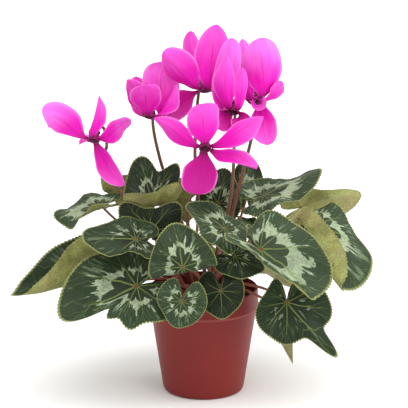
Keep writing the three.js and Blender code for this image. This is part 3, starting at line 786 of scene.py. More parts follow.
def grid(bm: bmesh.types.BMesh, columns: int, rows: int) -> dict[tuple[int, int], bmesh.types.BMVert]:
    """Adds a flat grid of columns x rows faces and returns its vertices by column and row."""
    made = bmesh.ops.create_grid(bm, x_segments=columns, y_segments=rows, size=1)["verts"]
    return {(round((v.co.x + 1) / 2 * columns), round((v.co.y + 1) / 2 * rows)): v for v in made}


@dataclass
class Piece:
    """One piece of the object that stands for the solid of the same name.

    Attributes:
        name: The solid's name.
        slot: The record's material slot; not used.
        finishes: The materials, in the order of the faces' material numbers.
        info: Seed and two more values that the materials read.
    """

    name: str
    slot: str
    finishes: tuple[Finish, ...]
    info: Triple = (0.5, 0.5, 0.5)

    INSIDE = 0.000001
    EASE_BACK = 0.03

    def make(self, bm: bmesh.types.BMesh) -> bpy.types.Object:
        """Turns a mesh into the finished piece, in metres, and hooks it to the frame.

        Args:
            bm: The mesh in millimetres; it is freed.

        Returns:
            The new object.
        """
        for face in bm.faces:
            face.smooth = True
        bmesh.ops.scale(bm, vec=(MM, MM, MM), verts=bm.verts)
        self.keep_within(bm)
        mesh = bpy.data.meshes.new(self.name + "_fine")
        bm.to_mesh(mesh)
        bm.free()
        for finish in self.finishes:
            mesh.materials.append(finish.material())
        if "info" not in mesh.attributes and any(finish.info for finish in self.finishes):
            layer = mesh.attributes.new("info", "FLOAT_VECTOR", "POINT")
            layer.data.foreach_set("vector", list(self.info) * len(mesh.vertices))
        piece = bpy.data.objects.new(self.name + "_fine", mesh)
        bpy.context.scene.collection.objects.link(piece)
        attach(piece, "root")
        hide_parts(self.name)
        triangles = sum(len(p.vertices) - 2 for p in mesh.polygons)
        log.info("%s: %d triangles", piece.name, triangles)
        return piece

    def keep_within(self, bm: bmesh.types.BMesh) -> None:
        """Draws the outermost stretch of a mesh in where it would pass the frame's box.

        The stretch is EASE_BACK metres long, and it then ends INSIDE metres within the box.

        Args:
            bm: The mesh in metres.
        """
        for axis in range(3):
            for side, limit in ((-1, FRAME_BOX[0][axis]), (1, FRAME_BOX[1][axis])):
                ends = [side * vert.co[axis] for vert in bm.verts]
                over = max(ends) - (side * limit - self.INSIDE)
                if over <= 0:
                    continue
                start = max(ends) - self.EASE_BACK
                for vert in bm.verts:
                    share = max(0.0, side * vert.co[axis] - start) / self.EASE_BACK
                    vert.co[axis] -= side * over * share


# ---- Tubes ----


@dataclass
class Tube:
    """A round, closed stalk along a chain of points, its thickness changing along it.

    Attributes:
        line: The points of its middle.
        radius: The radius at a share of its length.
        sides: Faces round it.
    """

    line: list[Vector]
    radius: Callable[[float], float]
    sides: int = 14

    def weave(self, bm: bmesh.types.BMesh) -> None:
        """Adds the closed tube with its UV map.

        Args:
            bm: The mesh to add to.
        """
        rows = len(self.line) + 1
        verts = grid(bm, self.sides, rows)
        frames = self.frames()
        for (i, j), vert in verts.items():
            k = min(len(self.line) - 1, max(0, j - 1))
            share = k / (len(self.line) - 1)
            side, up = frames[k]
            size = 0.0 if j in (0, rows) else self.radius(share)
            turn = TAU * i / self.sides
            vert.co = self.line[k] + (side * math.cos(turn) + up * math.sin(turn)) * size
        lay_uv(bm, verts, "Polar", lambda i, j: (i / self.sides, min(1.0, max(0.0, (j - 1) / (rows - 2)))))
        bmesh.ops.remove_doubles(bm, verts=list(verts.values()), dist=1e-5)

    def frames(self) -> list[tuple[Vector, Vector]]:
        """Finds two directions across the line at each point, turning as little as the line does.

        Returns:
            The pairs of directions.
        """
        out = []
        side = Vector((1, 0, 0.01)).normalized()
        for k in range(len(self.line)):
            along = (self.line[min(k + 1, len(self.line) - 1)] - self.line[max(k - 1, 0)]).normalized()
            side = upright(side, along)
            out.append((side, along.cross(side)))
        return out


def lay_uv(
    bm: bmesh.types.BMesh,
    verts: dict[tuple[int, int], bmesh.types.BMVert],
    name: str,
    at: Callable[[int, int], tuple[float, float]],
) -> None:
    """Writes a UV map from each grid vertex's column and row.

    Args:
        bm: The mesh.
        verts: The grid's vertices by column and row.
        name: The UV map's name.
        at: The map's place for a column and a row.
    """
    layer = bm.loops.layers.uv.get(name) or bm.loops.layers.uv.new(name)
    for (i, j), vert in verts.items():
        place = at(i, j)
        for loop in vert.link_loops:
            loop[layer].uv = place


# ---- Leaves ----


@dataclass(frozen=True)
class Curl:
    """Part of a blade that is rolled over.

    Attributes:
        toward: The side that rolls, in degrees: 0 at the tip, 90 on the right.
        start: How far out the roll starts.
        over: Length of blade that the roll takes.
        by: Degrees that it turns, up if over 0.
    """

    toward: float
    start: float
    over: float
    by: float

    def bend(self, point: Vector) -> Vector:
        """Rolls a point of the blade.

        Args:
            point: The point before the roll.

        Returns:
            The point after it.
        """
        toward = math.radians(self.toward)
        way = (math.sin(toward), math.cos(toward))
        far = point.x * way[0] + point.y * way[1] - self.start
        if far <= 0:
            return point
        rate = math.radians(self.by) / self.over
        turn = rate * min(far, self.over)
        rest = max(0.0, far - self.over)
        along = math.sin(turn) / rate + rest * math.cos(turn) - point.z * math.sin(turn)
        up = (1 - math.cos(turn)) / rate + rest * math.sin(turn) + point.z * math.cos(turn)
        shift = along - far
        return Vector((point.x + way[0] * shift, point.y + way[1] * shift, up))


@dataclass(frozen=True)
class Dent:
    """A bay in a blade's edge, or a bulge where its depth is under 0.

    Attributes:
        at: Its angle from the tip in degrees.
        deep: Its depth as a share of the way out.
        spread: Its half width in degrees.
    """

    at: float
    deep: float
    spread: float


@dataclass
class Leaf:
    """A heart-shaped, marbled blade, woven finely with teeth, puckers between its veins and a thin edge.

    Attributes:
        number: The leaf's number.
        at: Where the stalk joins it.
        tip: Where it points to.
        face: The way its upper face looks.
        wide: Full width.
        ripple: Height of the five waves round its edge.
        dome: How far its edge hangs below its middle.
        taper: How narrow the part toward the tip is.
        sharp: How straight the sides run to the tip, 0 to 1.
        cleft: Depth of the notch behind the joint, 0 to 1.
        hook: How early its stalk turns toward it, as a share of the stalk.
        outward: How far its stalk leans out at the foot.
        bow: How far its stalk is pushed aside in the middle.
        young: True for a small, fresh green leaf.
        silver: How much silver it has, 0 to 1.
        dark: How dark it is, 0 to 1: partly its own deeper green, partly painted shade where it sits in the
            shade of other leaves.
        dents: Bays and bulges of its edge.
        curls: Its rolled parts.
    """

    number: int
    at: Triple
    tip: Triple
    face: Triple
    wide: float
    ripple: float = 2.5
    dome: float = 3
    taper: float = 5
    sharp: float = 0
    cleft: float = 0.92
    hook: float = 0.22
    outward: float = 0.6
    bow: Triple = (0, 0, 0)
    young: bool = False
    silver: float = 0.5
    dark: float = 0.1
    dents: tuple[Dent, ...] = ()
    curls: tuple[Curl, ...] = ()

    THICK, THIN = 0.8, 0.5
    WAVES = 5
    TURNS = 1440
    TOOTH = (1.1, 0.35, 0.0, 0.35)

    def name(self) -> str:
        """The solid's name."""
        return f"leaf_{self.number:02d}"

    def long(self) -> float:
        """Distance from the joint to the tip."""
        return (vec(self.tip) - vec(self.at)).length

    def axes(self) -> tuple[Vector, Vector, Vector]:
        """Finds the blade's own directions.

        Returns:
            To its right, to its tip, and out of its upper face.
        """
        y = (vec(self.tip) - vec(self.at)).normalized()
        z = upright(vec(self.face), y)
        return y.cross(z), y, z

    def outline(self, angle: float) -> float:
        """Finds the distance from the joint to the edge.

        Args:
            angle: Angle from the tip.

        Returns:
            The distance in millimetres.
        """
        long = self.long() / self.wide
        to_tip = max(0.0, math.cos(angle)) ** self.taper
        point = 0.06 * math.exp(-((angle / 0.3) ** 2))
        reach = 0.5 + (long - 0.56) * to_tip + point
        if self.sharp and abs(angle) < math.pi / 2:
            side = 0.5 * math.cos(angle) + long * math.sin(abs(angle))
            reach = lerp(reach, 0.5 * long / side, self.sharp)
        for dent in self.dents:
            away = (angle - math.radians(dent.at)) / math.radians(dent.spread)
            reach *= 1 - dent.deep * math.exp(-(away ** 2))
        reach *= 1 - self.cleft * math.exp(-(((math.pi - abs(angle)) / 0.27) ** 2))
        return self.wide * reach

    def spokes(self) -> list[float]:
        """Spaces the blade's columns evenly along its edge, four to a tooth.

        Returns:
            Their angles from the tip.
        """
        fine = [-math.pi + TAU * i / self.TURNS for i in range(self.TURNS + 1)]
        rim = [Vector((math.sin(a), math.cos(a), 0)) * self.outline(a) for a in fine]
        run = [0.0]
        for near, far in zip(rim, rim[1:]):
            run.append(run[-1] + (far - near).length + 0.004 * self.wide / 8)
        count = int(min(420, max(96, run[-1] / 0.8))) // 4 * 4
        out = []
        for i in range(count + 1):
            want = run[-1] * i / count
            k = min(self.TURNS - 1, max(0, bisect_left(run, want) - 1))
            out.append(lerp(fine[k], fine[k + 1], (want - run[k]) / (run[k + 1] - run[k])))
        return out

    def section(self) -> list[tuple[float, float]]:
        """Lists the points of half a cut blade: out over its upper face, round the edge and back below.

        Returns:
            (share of the way out, side) of each point; side is 1 on the upper face and -1 on the lower.
        """
        top = [0.0, 0.04, 0.09, 0.16, 0.24, 0.32, 0.4, 0.48, 0.56, 0.64]
        top += [0.71, 0.78, 0.84, 0.89, 0.93, 0.96, 0.985]
        low = [0.975, 0.94, 0.88, 0.8, 0.7, 0.58, 0.46, 0.34, 0.22, 0.1, 0.0]
        return [(s, 1.0) for s in top] + [(1.0, 0.55), (1.0, -0.55)] + [(s, -1.0) for s in low]

    def point(self, angle: float, rim: float, share: float, side: float) -> tuple[Vector, float, float]:
        """A point of the blade and its place in the flat blade.

        Args:
            angle: Angle from the tip.
            rim: Distance to the edge at that angle.
            share: Share of the way out.
            side: 1 on the upper face, -1 on the lower.

        Returns:
            The point, and x and y of the unrolled blade in mm.
        """
        reach = rim * share
        swell = min(1.2, 2 * reach / self.wide)
        wave = self.ripple * math.sin(self.WAVES * angle + self.number - 1)
        lift = (wave - self.dome) * swell ** 2
        frill = math.sin(14 * angle + 1.7 * self.number) + 0.6 * math.sin(23 * angle + 2.3 * self.number)
        lift += 0.35 * frill * ease((share - 0.55) / 0.45) * min(1.0, self.wide / 60)
        pucker = abs(math.sin(MAIN_VEINS * (angle + math.pi) / 2)) ** 0.6
        lift += 0.9 * (pucker - 0.7) * min(1.0, self.wide / 70) * math.sin(math.pi * min(1.0, share * 1.1))
        thick = lerp(self.THICK, self.THIN, ease(share * 1.4)) / 2
        x, y = reach * math.sin(angle), reach * math.cos(angle)
        point = Vector((x, y, lift + side * thick))
        for curl in reversed(self.curls):
            point = curl.bend(point)
        a, b, c = self.axes()
        return vec(self.at) + a * point.x + b * point.y + c * point.z, x, y

    def build(self) -> bpy.types.Object:
        """Builds and dresses the blade.

        Returns:
            The new object.
        """
        bm = bmesh.new()
        spokes = self.spokes()
        section = self.section()
        n = len(spokes) - 1
        rims = [self.outline(a) for a in spokes]
        deep = min(1.0, self.wide / 60)
        tooth = [deep * self.TOOTH[i % 4] for i in range(n + 1)]
        cleft = [ease((math.pi - abs(a)) / 0.3) for a in spokes]
        verts = grid(bm, n, len(section) - 1)
        flat = {}
        for (i, j), vert in verts.items():
            share, side = section[j]
            toothed = rims[i] - tooth[i] * cleft[i] * ease((share - 0.86) / 0.14)
            vert.co, x, y = self.point(spokes[i], toothed, share, side)
            flat[i, j] = (x / 100, y / 100)
        for j in range(len(section)):  # the last column closes on the first
            verts[n, j].co = verts[0, j].co
        lay_uv(bm, verts, "Flat", lambda i, j: flat[i, j])
        lay_uv(bm, verts, "Polar", lambda i, j: (spokes[i] / TAU + 0.5, section[j][0]))
        rim_row = next(j for j, (_, side) in enumerate(section) if side < 1)
        rows = {vert: j for (_, j), vert in verts.items()}
        for face in bm.faces:
            face.material_index = int(min(rows[v] for v in face.verts) > rim_row)
        bmesh.ops.remove_doubles(bm, verts=bm.verts, dist=MERGE)
        bmesh.ops.recalc_face_normals(bm, faces=bm.faces)
        slot = "young_leaf" if self.young else "leaf"
        finishes = (YOUNG_LEAF, YOUNG_LEAF) if self.young else (LEAF_TOP, LEAF_UNDER)
        piece = Piece(self.name(), slot, finishes, (self.number * 0.37 % 1, self.silver, self.dark))
        return piece.make(bm)


# ---- Leaf stalks ----


@dataclass
class Bunch:
    """Leaf stalks that leave the tuber from one short trunk.

    Attributes:
        name: The solid's name.
        toward: The trunk's angle on the tuber from +X.
        numbers: The leaves it carries.
        ring: The trunk's distance from the middle of the tuber.
        low: Height of the trunk's foot.
        high: Height of its top.
        thick: Its radius at the foot.
        thin: Its radius at the top.
    """

    name: str
    toward: float
    numbers: tuple[int, ...]
    ring: float = 18
    low: float = 88
    high: float = 103
    thick: float = 5.5
    thin: float = 3.4

    def trunk_foot(self) -> Vector:
        """Where the trunk leaves the tuber."""
        turn = math.radians(self.toward)
        return Vector((self.ring * math.cos(turn), self.ring * math.sin(turn), self.low))

    def path(self, leaf: Leaf) -> list[Vector]:
        """Lays the middle line of a leaf's stalk from inside the trunk to just under its blade.

        Args:
            leaf: The leaf it carries.

        Returns:
            The line's points.
        """
        end = vec(leaf.at)
        trunk = self.trunk_foot()
        flat = end - trunk
        flat.z = 0
        foot = trunk + flat.normalized() * self.thin * 0.6
        foot.z = self.high - 4
        _, tip, face = leaf.axes()
        run = (end - foot).length
        out = end - foot
        out.z = 0
        out = out.normalized() * leaf.outward
        out.z = 1
        arrive = (face * 0.8 + tip * 0.45).normalized()
        bow = vec(leaf.bow)
        rise = foot + out.normalized() * run * 0.36 + bow
        curve = (foot, rise, end - arrive * run * leaf.hook + bow * 0.6, end)
        line = resample([bezier(curve, t / 60) for t in range(61)], 34)
        line[-1] = line[-1] - face * 0.25
        return [trunk + Vector((0, 0, 8)), *line]

    def build(self, leaves: dict[int, Leaf]) -> bpy.types.Object:
        """Builds and dresses the bunch.

        Args:
            leaves: Every leaf by its number.

        Returns:
            The new object.
        """
        bm = bmesh.new()
        foot = self.trunk_foot()
        tall = self.high - self.low
        trunk = [foot + Vector((0, 0, tall * k / 10)) for k in range(11)]
        top = self.thin * 0.92
        Tube(trunk, lambda s: lerp(self.thick, top, s ** 0.8) * (1 + 0.04 * math.sin(9 * s)), 24).weave(bm)
        for number in self.numbers:
            Tube(self.path(leaves[number]), lambda s: lerp(1.8, 1.15, s ** 0.7), 12).weave(bm)
        bmesh.ops.recalc_face_normals(bm, faces=bm.faces)
        return Piece(self.name, "leaf_stalk", (STALK_SKIN,)).make(bm)


# ---- Blooms ----


@contextmanager
def marked(bm: bmesh.types.BMesh, info: bmesh.types.BMLayerItem, values: Triple) -> Iterator[None]:
    """Gives every point that is added meanwhile the values that its material reads.

    Args:
        bm: The mesh.
        info: The layer that holds them.
        values: The values.

    Yields:
        Nothing.
    """
    before = len(bm.verts)
    yield
    bm.verts.ensure_lookup_table()
    for vert in bm.verts[before:]:
        vert[info] = values


@dataclass(frozen=True)
class Petal:
    """A petal that leaves the throat at `turn` from its top and runs `to` its tip.

    Attributes:
        turn: Angle round the throat, clockwise seen from in front of the mouth.
        to: Its tip, from the throat.
        wide: Its greatest width.
        across: The way the width lies.
        cup: How hollow it is, in parts of its half width.
        end: The way it runs at its tip.
        forward: How far forward it leaves the throat.
        pale: How pale it turns toward its tip, 0 to 1; a low value also deepens its body. Partly its own
            colour, partly painted light on a petal that faces the light and painted shade on one that faces
            down.
        slant: How far the tip stands to one side, in parts of the half width.
        blunt: How square the tip is: 1 round, under 1 squarer, over 1 drawn to a point.
        crease: Depth of the fold along its middle, in parts of the half width.
        twist: Turn about its own length from throat to tip, in degrees.
    """

    turn: float
    to: Triple
    wide: float
    across: Triple
    cup: float
    end: Triple | None = None
    forward: float = 0.35
    pale: float = 0.45
    slant: float = 0.0
    blunt: float = 1.0
    crease: float = 0.12
    twist: float = 0.0


@dataclass
class Bloom:
    """A nodding bloom: a short throat whose five petals fold back, on its own stalk.

    Attributes:
        name: The bloom's name, without its kind.
        throat: The middle of the throat's mouth.
        mouth: The way the mouth looks.
        foot: Its stalk's angle on the tuber from +X.
        stem: The stalk's way up.
        gap: The turn at which the stalk passes between the petals, or None.
        petals: Its petals.
        rolled: Whether the foot of one petal is rolled up in front of the throat.
        wide: Radius of the throat at its mouth.
        deep: Length of the throat.
        base: Half width of a petal at its foot.
        broadest: Where a petal is widest, as a share of its length.
        ring: Distance of the stalk's foot from the middle of the tuber.
        low: Height of the stalk's foot.
        past: How far beside the throat the stalk passes between the petals.
    """

    name: str
    throat: Triple
    mouth: Triple
    foot: float
    stem: tuple[Triple, ...]
    gap: float | None
    petals: tuple[Petal, ...]
    rolled: bool = False
    wide: float = 5.6
    deep: float = 8
    base: float = 2.9
    broadest: float = 0.6
    ring: float = 8
    low: float = 90
    past: float = 13

    ROUND = 56
    ALONG = 44
    SCROLL_ROUND, SCROLL_ALONG = 24, 72

    def axis(self) -> Vector:
        """The way the mouth looks."""
        return vec(self.mouth).normalized()

    def way(self, turn: float) -> Vector:
        """Finds the direction out of the throat.

        Args:
            turn: Degrees from the throat's top.

        Returns:
            The direction.
        """
        top = upright(Vector((0, 0, 1)), self.axis())
        side = top.cross(self.axis())
        turn = math.radians(turn)
        return top * math.cos(turn) + side * math.sin(turn)

    def line(self, petal: Petal) -> tuple[Vector, Vector, Vector, Vector]:
        """Lays a petal's middle line.

        Args:
            petal: The petal.

        Returns:
            The line's four Bezier points.
        """
        way = self.way(petal.turn)
        root = vec(self.throat) + way * self.wide * 0.85 - self.axis()
        tip = vec(self.throat) + vec(petal.to)
        long = (tip - root).length
        leave = (way + self.axis() * petal.forward).normalized()
        arrive = vec(petal.end).normalized() if petal.end else (tip - root).normalized()
        return root, root + leave * long * 0.24, tip - arrive * long * 0.35, tip

    def half(self, petal: Petal, u: float) -> float:
        """Finds half a petal's width.

        Args:
            petal: The petal.
            u: Share of its length.

        Returns:
            The half width in millimetres.
        """
        half = lerp(self.base, petal.wide / 2, ease(u / self.broadest))
        past = max(0.0, u - self.broadest) / (1 - self.broadest)
        return half * max(0.0, 1 - past ** (2.4 / petal.blunt)) ** (0.6 * petal.blunt)

    def petal(self, bm: bmesh.types.BMesh, petal: Petal, seed: float) -> None:
        """Adds a closed petal with a waved edge, fine folds along it and a rounded tip.

        Args:
            bm: The mesh to add to.
            petal: The petal.
            seed: Turns the waves, so that no two petals are alike.
        """
        curve = self.line(petal)
        start = self.axis().cross(self.way(petal.turn))
        across = vec(petal.across).normalized()
        if start.dot(across) < 0:
            start = -start
        shares = [1 - (1 - j / self.ALONG) ** 1.7 for j in range(self.ALONG + 1)]
        verts = grid(bm, self.ROUND, self.ALONG)
        for (i, j), vert in verts.items():
            u = min(shares[j], 0.9985)
            phi = TAU * i / self.ROUND
            v = math.cos(phi)
            half = self.half(petal, u)
            along = (bezier(curve, min(1.0, u + 0.01)) - bezier(curve, max(0.0, u - 0.01))).normalized()
            wide = upright(start.lerp(across, ease(u / self.broadest)), along)
            turn = math.radians(petal.twist) * ease(u)
            wide, out = (
                wide * math.cos(turn) + along.cross(wide) * math.sin(turn),
                along.cross(wide) * math.cos(turn) - wide * math.sin(turn),
            )
            thick = lerp(0.55, 0.32, u) * (1 - 0.35 * v * v)
            hollow = petal.cup * half * v * v * min(1.0, 2 * u)
            edge = ease((abs(v) - 0.25) / 0.75) * ease(u * 2)
            wave = 1.7 * math.sin(6.5 * u + seed * 5 + 2.4 * (v > 0))
            wave += 0.45 * math.sin(19 * u + seed * 11 - (v > 0))
            hollow += petal.crease * half * abs(v) * min(1.0, 3 * u)
            aside = petal.slant * petal.wide / 2 * max(0.0, u - self.broadest) ** 2 / 0.16
            ridge = 0.5 * math.exp(-((v / 0.12) ** 2)) * (1 - u) * ease(u * 5)
            fold = 0.22 * math.cos(v * 11 + seed) * ease(u * 4) + ridge
            lift = hollow + wave * edge * min(1.0, half / 9) + fold * min(1.0, half / 8)
            vert.co = bezier(curve, u) + wide * aside
            if 0 < j < self.ALONG:
                vert.co += wide * half * v + out * (lift + thick * math.sin(phi))
        lay_uv(bm, verts, "Polar", lambda i, j: (0.5 + 0.5 * math.cos(TAU * i / self.ROUND), shares[j]))
        bmesh.ops.remove_doubles(bm, verts=list(verts.values()), dist=MERGE)

    def scroll(self, bm: bmesh.types.BMesh) -> None:
        """Adds the foot of a petal that is rolled into a spiral, open toward the front.

        Args:
            bm: The mesh to add to.
        """
        count, steps = self.SCROLL_ROUND, self.SCROLL_ALONG
        axis = Vector((0.1, -0.95, 0.05)).normalized()
        side = axis.cross(Vector((0, 0, 1))).normalized()
        top = side.cross(axis)
        centre = vec(self.throat) + axis * 4.5
        verts = grid(bm, count, steps)
        for (i, j), vert in verts.items():
            share = j / steps
            turn = TAU * (0.62 + 1.3 * share)
            way = top * math.cos(turn) + side * math.sin(turn)
            vert.co = centre + way * lerp(2.6, 6.6, share) - axis * lerp(2.0, 0.0, share)
            if 0 < j < steps:
                phi = TAU * i / count
                half = lerp(1.2, 4.2, share) * (1 - 0.6 * ease((share - 0.75) / 0.25))
                flare = way * 0.78 + axis * 0.62
                vert.co += flare * half * math.cos(phi) + (way * 0.62 - axis * 0.78) * 0.3 * math.sin(phi)
        lay_uv(
            bm, verts, "Polar",
            lambda i, j: (0.5 + 0.5 * math.cos(TAU * i / count), lerp(0.12, 0.85, j / steps)),
        )
        bmesh.ops.remove_doubles(bm, verts=list(verts.values()), dist=MERGE)

    def turned(
        self, bm: bmesh.types.BMesh, profile: list[tuple[float, float]], turns: int = 40
    ) -> list[bmesh.types.BMFace]:
        """Adds a closed turned form about the throat's axis.

        Args:
            bm: The mesh to add to.
            profile: (radius, distance in front of the mouth) from one end on the axis to the other.
            turns: Faces round it.

        Returns:
            The new faces.
        """
        rotate = Vector((0, 0, 1)).rotation_difference(self.axis())
        verts = grid(bm, turns, len(profile) - 1)
        for (i, j), vert in verts.items():
            r, z = profile[j]
            turn = TAU * i / turns
            vert.co = vec(self.throat) + rotate @ Vector((r * math.cos(turn), r * math.sin(turn), z))
        lay_uv(bm, verts, "Polar", lambda i, j: (i / turns, j / (len(profile) - 1)))
        faces = list({face for vert in verts.values() for face in vert.link_faces})
        bmesh.ops.remove_doubles(bm, verts=list(verts.values()), dist=MERGE)
        return [face for face in faces if face.is_valid]

    def build_bloom(self) -> bpy.types.Object:
        """Builds and dresses the petals, throat and anther cone as one piece.

        Returns:
            The new object.
        """
        bm = bmesh.new()
        info = bm.verts.layers.float_vector.new("info")
        for k, petal in enumerate(self.petals):
            seed = k * 0.731 + len(self.name)
            with marked(bm, info, (seed % 1, petal.pale, 0)):
                self.petal(bm, petal, seed)
        if self.rolled:
            with marked(bm, info, (0.4, 0.75, 0)):
                self.scroll(bm)
        throat = [(0, -8), (2.2, -8), (4.1, -6.6), (5.2, -4.2), (5.7, -1.6), (5.75, 0), (5.3, 0.6),
                  (4.7, 0.3), (4.2, -1), (3.8, -3.6), (1.7, -4.4)]
        cone = [(1.55, -3.4), (1.3, -1.6), (0.85, 0.6), (0.4, 2.2), (0, 2.5)]
        for face in self.turned(bm, throat + cone):
            middle = face.calc_center_median() - vec(self.throat)
            in_cone = middle.cross(self.axis()).length < 1.8 and middle.dot(self.axis()) > -4.2
            face.material_index = 2 if in_cone else 1
        bmesh.ops.recalc_face_normals(bm, faces=bm.faces)
        return Piece("bloom_" + self.name, "petal", (PETAL_SKIN, THROAT_SKIN, ANTHER_SKIN)).make(bm)

    def build_scape(self) -> bpy.types.Object:
        """Builds and dresses the bloom's stalk with the calyx at its end.

        Returns:
            The new object.
        """
        bm = bmesh.new()
        axis = self.axis()
        back = vec(self.throat) - axis * (self.deep + 0.3)
        turn = math.radians(self.foot)
        foot = Vector((self.ring * math.cos(turn), self.ring * math.sin(turn), self.low))
        aside = self.way(self.gap) if self.gap is not None else Vector((0, 0, 0))
        hook = back - axis * 8 + aside * 5
        points = [foot, *map(vec, self.stem)]
        if self.gap is not None:
            points.append(vec(self.throat) + aside * self.past)
        points += [hook, back - axis * 2]
        line = catmull(points, 90)
        Tube(line, lambda s: lerp(2.0, 1.45, s) + 0.25 * math.exp(-((1 - s) / 0.03) ** 2), 16).weave(bm)
        self.calyx(bm)
        bmesh.ops.recalc_face_normals(bm, faces=bm.faces)
        return Piece("scape_" + self.name, "flower_stalk", (SCAPE_SKIN, CALYX_SKIN)).make(bm)

    def calyx(self, bm: bmesh.types.BMesh) -> None:
        """Adds the cup that holds the throat.

        Args:
            bm: The mesh to add to.
        """
        profile = [(0, -12.3), (1.6, -12.2), (2.6, -11.6), (3.6, -10.4), (4.3, -9.2), (4.45, -8.5),
                   (0, -8.35)]
        for face in self.turned(bm, profile):
            face.material_index = 1


# ---- Pot, soil and tuber ----


def spun(bm: bmesh.types.BMesh, profile: Sequence[tuple[float, float]], steps: int) -> None:
    """Adds a closed turned form about the upright axis.

    Args:
        bm: The mesh to add to.
        profile: (radius, height) from one end on the axis to the other.
        steps: Faces round it.
    """
    verts = [bm.verts.new((r, 0, z)) for r, z in profile]
    edges = [bm.edges.new(pair) for pair in zip(verts, verts[1:])]
    bmesh.ops.spin(
        bm, geom=verts + edges, cent=(0, 0, 0), axis=(0, 0, 1), angle=TAU, steps=steps, use_merge=True
    )
    bmesh.ops.remove_doubles(bm, verts=bm.verts, dist=MERGE)
    bmesh.ops.recalc_face_normals(bm, faces=bm.faces)


def rounded(profile: Sequence[tuple[float, float]], cut: float, steps: int = 3) -> list[tuple[float, float]]:
    """A profile with each inner corner rounded.

    Args:
        profile: The sharp profile.
        cut: How far back from a corner the rounding starts.
        steps: Points in each rounding, less one.

    Returns:
        The rounded profile.
    """
    out = [profile[0]]
    for k in range(1, len(profile) - 1):
        a, b, c = (Vector((*profile[k + d], 0)) for d in (-1, 0, 1))
        near = b + (a - b).normalized() * min(cut, (a - b).length * 0.45)
        away = b + (c - b).normalized() * min(cut, (c - b).length * 0.45)
        for i in range(steps + 1):
            t = i / steps
            p = near * (1 - t) ** 2 + b * 2 * t * (1 - t) + away * t * t
            out.append((p.x, p.y))
    out.append(profile[-1])
    return out


@dataclass(frozen=True)
class Pot:
    """The round moulded pot with its wide collar and six drain holes.

    Attributes:
        height: Its height.
        mouth: Outer radius at the mouth.
        collar: Outer radius at the collar's lower edge.
        collar_at: Height of that edge.
        shoulder: Outer radius of the wall just under the collar.
        foot: Outer radius at the foot.
        wall: Thickness of the wall.
        floor: Thickness of the floor.
        drains: How many drain holes it has.
        drain_ring: Their distance from the middle.
        drain_radius: Their radius.
    """

    height: float = 103
    mouth: float = 52.5
    collar: float = 54
    collar_at: float = 83.8
    shoulder: float = 51.7
    foot: float = 38.8
    wall: float = 1.9
    floor: float = 2.4
    drains: int = 6
    drain_ring: float = 25
    drain_radius: float = 4

    def outside(self, z: float) -> float:
        """The wall's outer radius at a height below the collar."""
        return self.foot + (self.shoulder - self.foot) * z / self.collar_at

    def build(self) -> bpy.types.Object:
        """Builds and dresses the pot.

        Returns:
            The new object.
        """
        inner = self.mouth - self.wall
        under = self.collar_at - 2
        profile = [
            (0, 0), (self.foot - 3, 0), (self.foot - 0.8, 0.9), (self.outside(4), 4),
            (self.shoulder - 0.2, self.collar_at - 1.2), (self.collar, self.collar_at),
            (self.collar - 0.6, self.collar_at + 1.6), (self.mouth, self.height - 1),
            (self.mouth - 0.6, self.height), (inner, self.height), (inner, self.collar_at + 1),
            (self.outside(under) - self.wall, under), (self.outside(4) - self.wall, 4.5),
            (self.foot - self.wall - 2, self.floor), (0, self.floor),
        ]
        bm = bmesh.new()
        spun(bm, rounded(profile, 0.5), 144)
        return Piece("pot", "pot", (POT_SKIN,)).make(self.drilled(bm))

    def drilled(self, bm: bmesh.types.BMesh) -> bmesh.types.BMesh:
        """The pot with its drain holes cut.

        Args:
            bm: The pot without holes; it is freed.

        Returns:
            A new mesh with the holes.
        """
        drill = bmesh.new()
        for k in range(self.drains):
            turn = TAU * k / self.drains
            middle = Vector((math.cos(turn), math.sin(turn), 0)) * self.drain_ring
            place = Matrix.Translation((middle.x, middle.y, 1))
            bmesh.ops.create_cone(
                drill, cap_ends=True, segments=32, radius1=self.drain_radius, radius2=self.drain_radius,
                depth=8, matrix=place,
            )
        objects = []
        for name, part in (("pot_blank", bm), ("pot_drill", drill)):
            mesh = bpy.data.meshes.new(name)
            part.to_mesh(mesh)
            part.free()
            objects.append(bpy.data.objects.new(name, mesh))
            bpy.context.scene.collection.objects.link(objects[-1])
        cut = objects[0].modifiers.new("drains", "BOOLEAN")
        cut.operation = "DIFFERENCE"
        cut.solver = "EXACT"
        cut.object = objects[1]
        made = bmesh.new()
        made.from_object(objects[0], bpy.context.evaluated_depsgraph_get())
        for each in objects:
            mesh = each.data
            bpy.data.objects.remove(each)
            bpy.data.meshes.remove(mesh)
        return made


@dataclass(frozen=True)
class Corm:
    """The flattened round tuber, half out of the soil, with a corky skin.

    Attributes:
        radius: Its radius.
        centre: Height of its middle.
        half: Half its height.
        bark: How far its skin may stand out from the form beneath.
    """

    radius: float = 30
    centre: float = 80
    half: float = 18
    bark: float = 0.5

    def build(self) -> bpy.types.Object:
        """Builds and dresses the tuber.

        Returns:
            The new object.
        """
        bm = bmesh.new()
        bmesh.ops.create_uvsphere(bm, u_segments=96, v_segments=56, radius=1)
        for vert in bm.verts:
            way = vert.co.copy()
            bump = 0.35 * noise.noise(way * 4) + 0.25 * noise.noise(way * 11)
            vert.co.x *= self.radius - self.bark + bump
            vert.co.y *= self.radius - self.bark + bump
            vert.co.z = self.centre + way.z * (self.half - self.bark + bump)
        return Piece("corm", "corm", (CORM_SKIN,)).make(bm)


